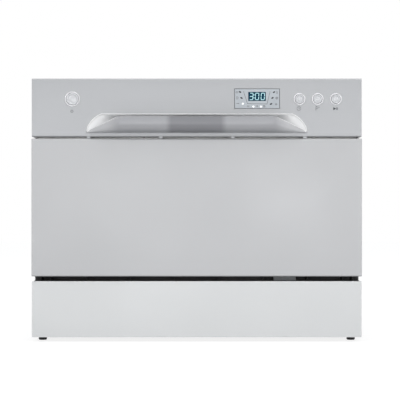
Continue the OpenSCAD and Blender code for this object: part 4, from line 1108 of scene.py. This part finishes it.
def make_shelf():
    """Folding cup shelf of fine wires with a round outer frame."""
    low, high = SHELF_LOW, SHELF_HIGH
    z, r = (low.z + high.z) / 2, 0.0016
    x0, x1 = low.x + 0.002, high.x - r
    y0, y1 = low.y, high.y
    lines = [[(x0, y0 + 0.010, z), (x1, y0 + 0.010, z), (x1, y1 - 0.010, z), (x0, y1 - 0.010, z)],
             [((x0 + x1) / 2, y0 + 0.010, z), ((x0 + x1) / 2, y1 - 0.010, z)]]
    for i in range(1, 6):
        y = y0 + 0.010 + (y1 - y0 - 0.020) * i / 6
        lines.append([(x0, y, z), (x1, y, z)])
    wires = wire_tree("shelf_wires", "rack_coat")
    wired("shelf_wires", lines, wires, (r, 0.008, 12), "cup_shelf", "cup_shelf", ["cup_shelf"])
    pivot = [(x0, y0, z), (x0, y1, z)]
    wired("shelf_pivot", [pivot], wires, (0.002, 0.001, 16), "cup_shelf", "cup_shelf")


def make_spray_arm():
    """Two blades that swell in the middle, with raised nozzles."""
    low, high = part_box("spray_arm")
    centre = (low + high) / 2
    reach, tall = (high.x - low.x) / 2, high.z - low.z
    rows = []
    stations = 40
    for i in range(stations + 1):
        share = -1.0 + 2.0 * i / stations
        x = math.sin(share * math.pi / 2) * reach
        side = abs(x) / reach
        round_end = math.sqrt(max(1e-4, 1.0 - side ** 14))
        wide = (0.0225 - 0.0085 * side) * round_end
        thick = (tall * 0.36 - tall * 0.19 * side) * round_end
        lean = 0.10 * (1 if x > 0 else -1) * min(1.0, side * 3)
        row = []
        for k in range(24):
            a = 2 * math.pi * k / 24
            u, v = wide * math.cos(a), thick * math.copysign(abs(math.sin(a)) ** 0.75, math.sin(a))
            row.append((centre.x + x, centre.y + u * math.cos(lean) - v * math.sin(lean),
                        centre.z + u * math.sin(lean) * 0.4 + v))
        rows.append(row)
    bm = loft(rows)
    piece("spray_arm_blades", bm, "inner_plastic", "spray_arm", SLOTS["spray_arm"], ["spray_arm"], 50.0)
    hub = lathe([(0.00805, low.z), (0.0176, low.z), (0.018, low.z + 0.0006), (0.018, high.z - 0.0012),
                 (0.0168, high.z), (0.00805, high.z), (0.00805, low.z)], (centre.x, centre.y, 0.0), "Z", 48)
    piece("spray_arm_hub", hub, "inner_plastic", "spray_arm", SLOTS["spray_arm"])
    profile = [(radius, centre.z + up) for radius, up in (
        (0.0, 0.0), (0.0034, 0.0), (0.0034, 0.0052), (0.0028, 0.0062), (0.0012, 0.0062), (0.0010, 0.0050),
        (0.0, 0.0050))]
    places = [(side * (0.038 + i * 0.024), centre.y + side * (0.005 if i % 2 == 0 else -0.004), 0.0)
              for side in (-1, 1) for i in range(5)]
    spouts = merged([lathe(profile, place, "Z", 16) for place in places])
    piece("spray_arm_nozzles", spouts, "inner_plastic", "spray_arm", SLOTS["spray_arm"])


# Operators

class Dress(bpy.types.Operator):
    """Dresses the step's plain nodes and makes what else belongs to it"""
    bl_options = {"REGISTER", "UNDO"}
    plain = ()

    def execute(self, context):
        for node in self.plain:
            dressed(node)
        self.make()
        return {"FINISHED"}

    def make(self):
        """Makes what a step adds to its plain nodes"""


class DressFinishes(Dress):
    """Make the finish of every material slot"""
    bl_idname = "dishwasher.finishes"
    bl_label = "Finishes"

    def make(self):
        make_materials()
        for name, obj in NODES.items():
            obj.data.materials.clear()
            obj.data.materials.append(MATERIALS[SLOTS[name]])


class DressPanels(Dress):
    """Dress the console, door panel, kick plate, casing and rear panel"""
    bl_idname = "dishwasher.panels"
    bl_label = "Panels"

    def make(self):
        for node, edge in (("control_panel", 0.0005), ("door_panel", 0.0004), ("kick_plate", 0.0003),
                           ("outer_casing", 0.0003), ("rear_panel", 0.0003)):
            dressed(node, edge)


class DressHandle(Dress):
    """Make the grip and the hollow behind it, and dress the release lever"""
    bl_idname = "dishwasher.handle"
    bl_label = "Handle"

    def make(self):
        make_grip()
        make_bead(settings("handle"))
        make_hollow()
        dressed("release_lever", 0.0003)


class DressButtons(Dress):
    """Make the button rings and caps and print the marks under them"""
    bl_idname = "dishwasher.buttons"
    bl_label = "Buttons"

    def make(self):
        make_rings()
        for node in BUTTONS:
            make_cap(node)
        print_console()


class DressDisplay(Dress):
    """Make the printed display plate and its lit clock"""
    bl_idname = "dishwasher.display"
    bl_label = "Display"

    def make(self):
        make_display()


class DressBase(Dress):
    """Dress the base tray, its clip and feet and the water connections"""
    bl_idname = "dishwasher.base"
    bl_label = "Base"

    plain = ("base_tray", "deck_clip", "softener", "inlet_valve", "drain_spigot", "cord_gland",
             "air_break", "float_switch", "sump", "drain_pump", "wash_pump", "heater")

    def make(self):
        dressed("feet", 0.0)


class DressTub(Dress):
    """Dress the tub, its seals and rails and what stands on its floor"""
    bl_idname = "dishwasher.tub"
    bl_label = "Tub"

    plain = ("tub", "rack_rails", "latch_striker", "filter_cup", "spray_hub", "float", "salt_cap",
             "hinge_brackets")

    def make(self):
        dressed("door_seal", 0.0007)
        dressed("filter_plate", 0.0, "sieve")
        make_spray_arm()


class DressRack(Dress):
    """Make the wire rack and cup shelf and dress the basket, runners and wheels"""
    bl_idname = "dishwasher.rack"
    bl_label = "Rack"

    def make(self):
        make_rack()
        make_shelf()
        for node in ("rack_runners", "cutlery_basket", "shelf_clips", "wheel_front_left",
                     "wheel_front_right", "wheel_rear_left", "wheel_rear_right"):
            dressed(node)


class DressDoorInside(Dress):
    """Dress the inner door, dispenser, lock, hinges and the door's hidden parts"""
    bl_idname = "dishwasher.door_inside"
    bl_label = "Inside of the door"

    plain = ("inner_door", "dispenser_housing", "dispenser_lid", "rinse_cap", "door_lock",
             "door_lower_seal", "hinge_arms", "control_board", "power_switch")


class DressScrews(Dress):
    """Set the screws of the inner door and the thread of the water inlet"""
    bl_idname = "dishwasher.screws"
    bl_label = "Screws"

    def make(self):
        d = settings("detail")
        heads = screw_tree("pan_screws", "screw_steel")
        plane = min(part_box("inner_door")[1].y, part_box("dispenser_housing")[0].y + 0.034)
        points = [(side * 0.262, plane, z) for side in (-1, 1) for z in (0.20, 0.30, 0.40)]
        points += [(side * 0.10, plane, 0.418) for side in (-1, 1)]
        outwards = {"Radius": d.screw, "Height": 0.0016, "Turn": (-math.pi / 2, 0.0, 0.0)}
        grown("inner_door_screws", guide_points(points), heads, outwards, "door", SLOTS["hinge_arms"])
        low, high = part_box("rear_panel")
        inset = 0.012
        points = [(side * (high.x - inset), high.y, z) for side in (-1, 1)
                  for z in (low.z + 0.03, (low.z + high.z) / 2, high.z - 0.03)]
        points += [(x, high.y, high.z - inset) for x in (-0.16, 0.0, 0.16)]
        points += [(x, high.y, low.z + inset) for x in (-0.16, 0.0, 0.16)]
        grown("rear_panel_screws", guide_points(points), heads, outwards, "cabinet", SLOTS["rear_panel"])
        mid = middle("inlet_valve")
        centre_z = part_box("cord_gland")[0].z + 0.010
        turns, steps = 7, 28
        ridge = [(mid.x + 0.0131 * math.cos(2 * math.pi * i / steps), 0.2265 + 0.0019 * i / steps,
                  centre_z + 0.0131 * math.sin(2 * math.pi * i / steps)) for i in range(turns * steps + 1)]
        wired("inlet_thread", [ridge], wire_tree("thread", "pale_plastic"), (0.0006, 0.0, 8), "cabinet",
              "inlet_valve")


class DressStage(Dress):
    """Set the floor, the lamps, the even light and the camera"""
    bl_idname = "dishwasher.stage"
    bl_label = "Stage"

    def make(self):
        light, paint = settings("light"), settings("paint")
        scene = bpy.context.scene
        scene.view_settings.view_transform = "Standard"
        world = bpy.data.worlds.new("studio")
        scene.world = world
        sky = Shader(world)
        ray = sky.add("LightPath").outputs
        seen = sky.highest(ray["Is Camera Ray"], ray["Is Glossy Ray"], ray["Is Transmission Ray"])
        even = sky.add("Background", {"Color": (*paint.sky, 1.0), "Strength": light.world})
        white = sky.add("Background", {"Color": (1.0, 1.0, 1.0, 1.0), "Strength": 1.0})
        sky.end("OutputWorld", seen, even, white)

        bm = bmesh.new()
        bmesh.ops.create_grid(bm, x_segments=1, y_segments=1, size=6.0)
        mesh = as_mesh("floor", bm)
        floor = new_object("floor", mesh)
        floor.data.transform(Matrix.Translation((0.0, 0.0, -0.0002)))
        paper = bpy.data.materials.new("floor_paper")
        sheet = Shader(paper)
        ray = sheet.add("LightPath").outputs
        seen = sheet.highest(ray["Is Camera Ray"], ray["Is Glossy Ray"])
        part = sheet.add("Math", {0: seen, 1: light.floor_share}, operation="MULTIPLY")
        matt = sheet.add("BsdfDiffuse", {"Color": (*paint.floor, 1.0)})
        lit = sheet.add("Emission", {"Strength": light.floor_glow})
        sheet.end("OutputMaterial", part.outputs[0], matt, lit)
        mesh.materials.append(paper)

        target = Vector((0.0, 0.0, 0.22))
        for name, power, place, size in (("key", light.key, (-1.8, -2.2, 1.6), 1.4),
                                         ("fill", light.fill, (1.7, -1.6, 0.9), 1.4),
                                         ("top", light.top, (0.2, -1.3, 2.4), 1.6),
                                         ("low_left", light.low, (-0.38, -2.35, 0.20), 0.5),
                                         ("low_right", light.low, (0.44, -2.35, 0.20), 0.5),
                                         ("rear", light.fill, (-1.2, 2.4, 1.6), 1.6)):
            lamp = bpy.data.lights.new(name, "AREA")
            lamp.energy, lamp.size = power, size
            held = new_object(name, lamp)
            held.location = place
            held.rotation_mode = "QUATERNION"
            held.rotation_quaternion = (target - Vector(place)).to_track_quat("-Z", "Y")
        camera = bpy.data.cameras.new("camera")
        camera.lens = light.lens
        camera.clip_start, camera.clip_end = 0.05, 50.0
        held = new_object("camera", camera)
        held.location = light.camera
        held.rotation_euler = (math.pi / 2, 0.0, 0.0)
        scene.camera = held


OPERATORS = (DressFinishes, DressPanels, DressHandle, DressButtons, DressDisplay, DressBase, DressTub,
             DressRack, DressDoorInside, DressScrews, DressStage)
GROUPS = {"paint": PaintSettings, "handle": HandleSettings, "detail": DetailSettings,
          "light": LightSettings}


class DishwasherPanel(bpy.types.Panel):
    """Lists the dressing steps and their settings"""
    bl_idname = "VIEW3D_PT_dishwasher"
    bl_label = "Countertop dishwasher"
    bl_space_type = "VIEW_3D"
    bl_region_type = "UI"
    bl_category = "Dishwasher"

    def draw(self, context):
        for operator in OPERATORS:
            self.layout.operator(operator.bl_idname)
        for name, group in GROUPS.items():
            box = self.layout.box()
            for key in group.__annotations__:
                box.prop(settings(name), key)


def register():
    for group in GROUPS.values():
        bpy.utils.register_class(group)
    for name, group in GROUPS.items():
        setattr(bpy.types.Scene, "dishwasher_" + name, PointerProperty(type=group))
    for operator in OPERATORS:
        bpy.utils.register_class(operator)
    bpy.utils.register_class(DishwasherPanel)


def unregister():
    bpy.utils.unregister_class(DishwasherPanel)
    for operator in reversed(OPERATORS):
        bpy.utils.unregister_class(operator)
    for name in GROUPS:
        delattr(bpy.types.Scene, "dishwasher_" + name)
    for group in reversed(GROUPS.values()):
        bpy.utils.unregister_class(group)


def main():
    register()
    for operator in OPERATORS:
        group, name = operator.bl_idname.split(".")
        getattr(getattr(bpy.ops, group), name)()
    bpy.context.view_layer.update()


if __name__ == "__main__":
    main()
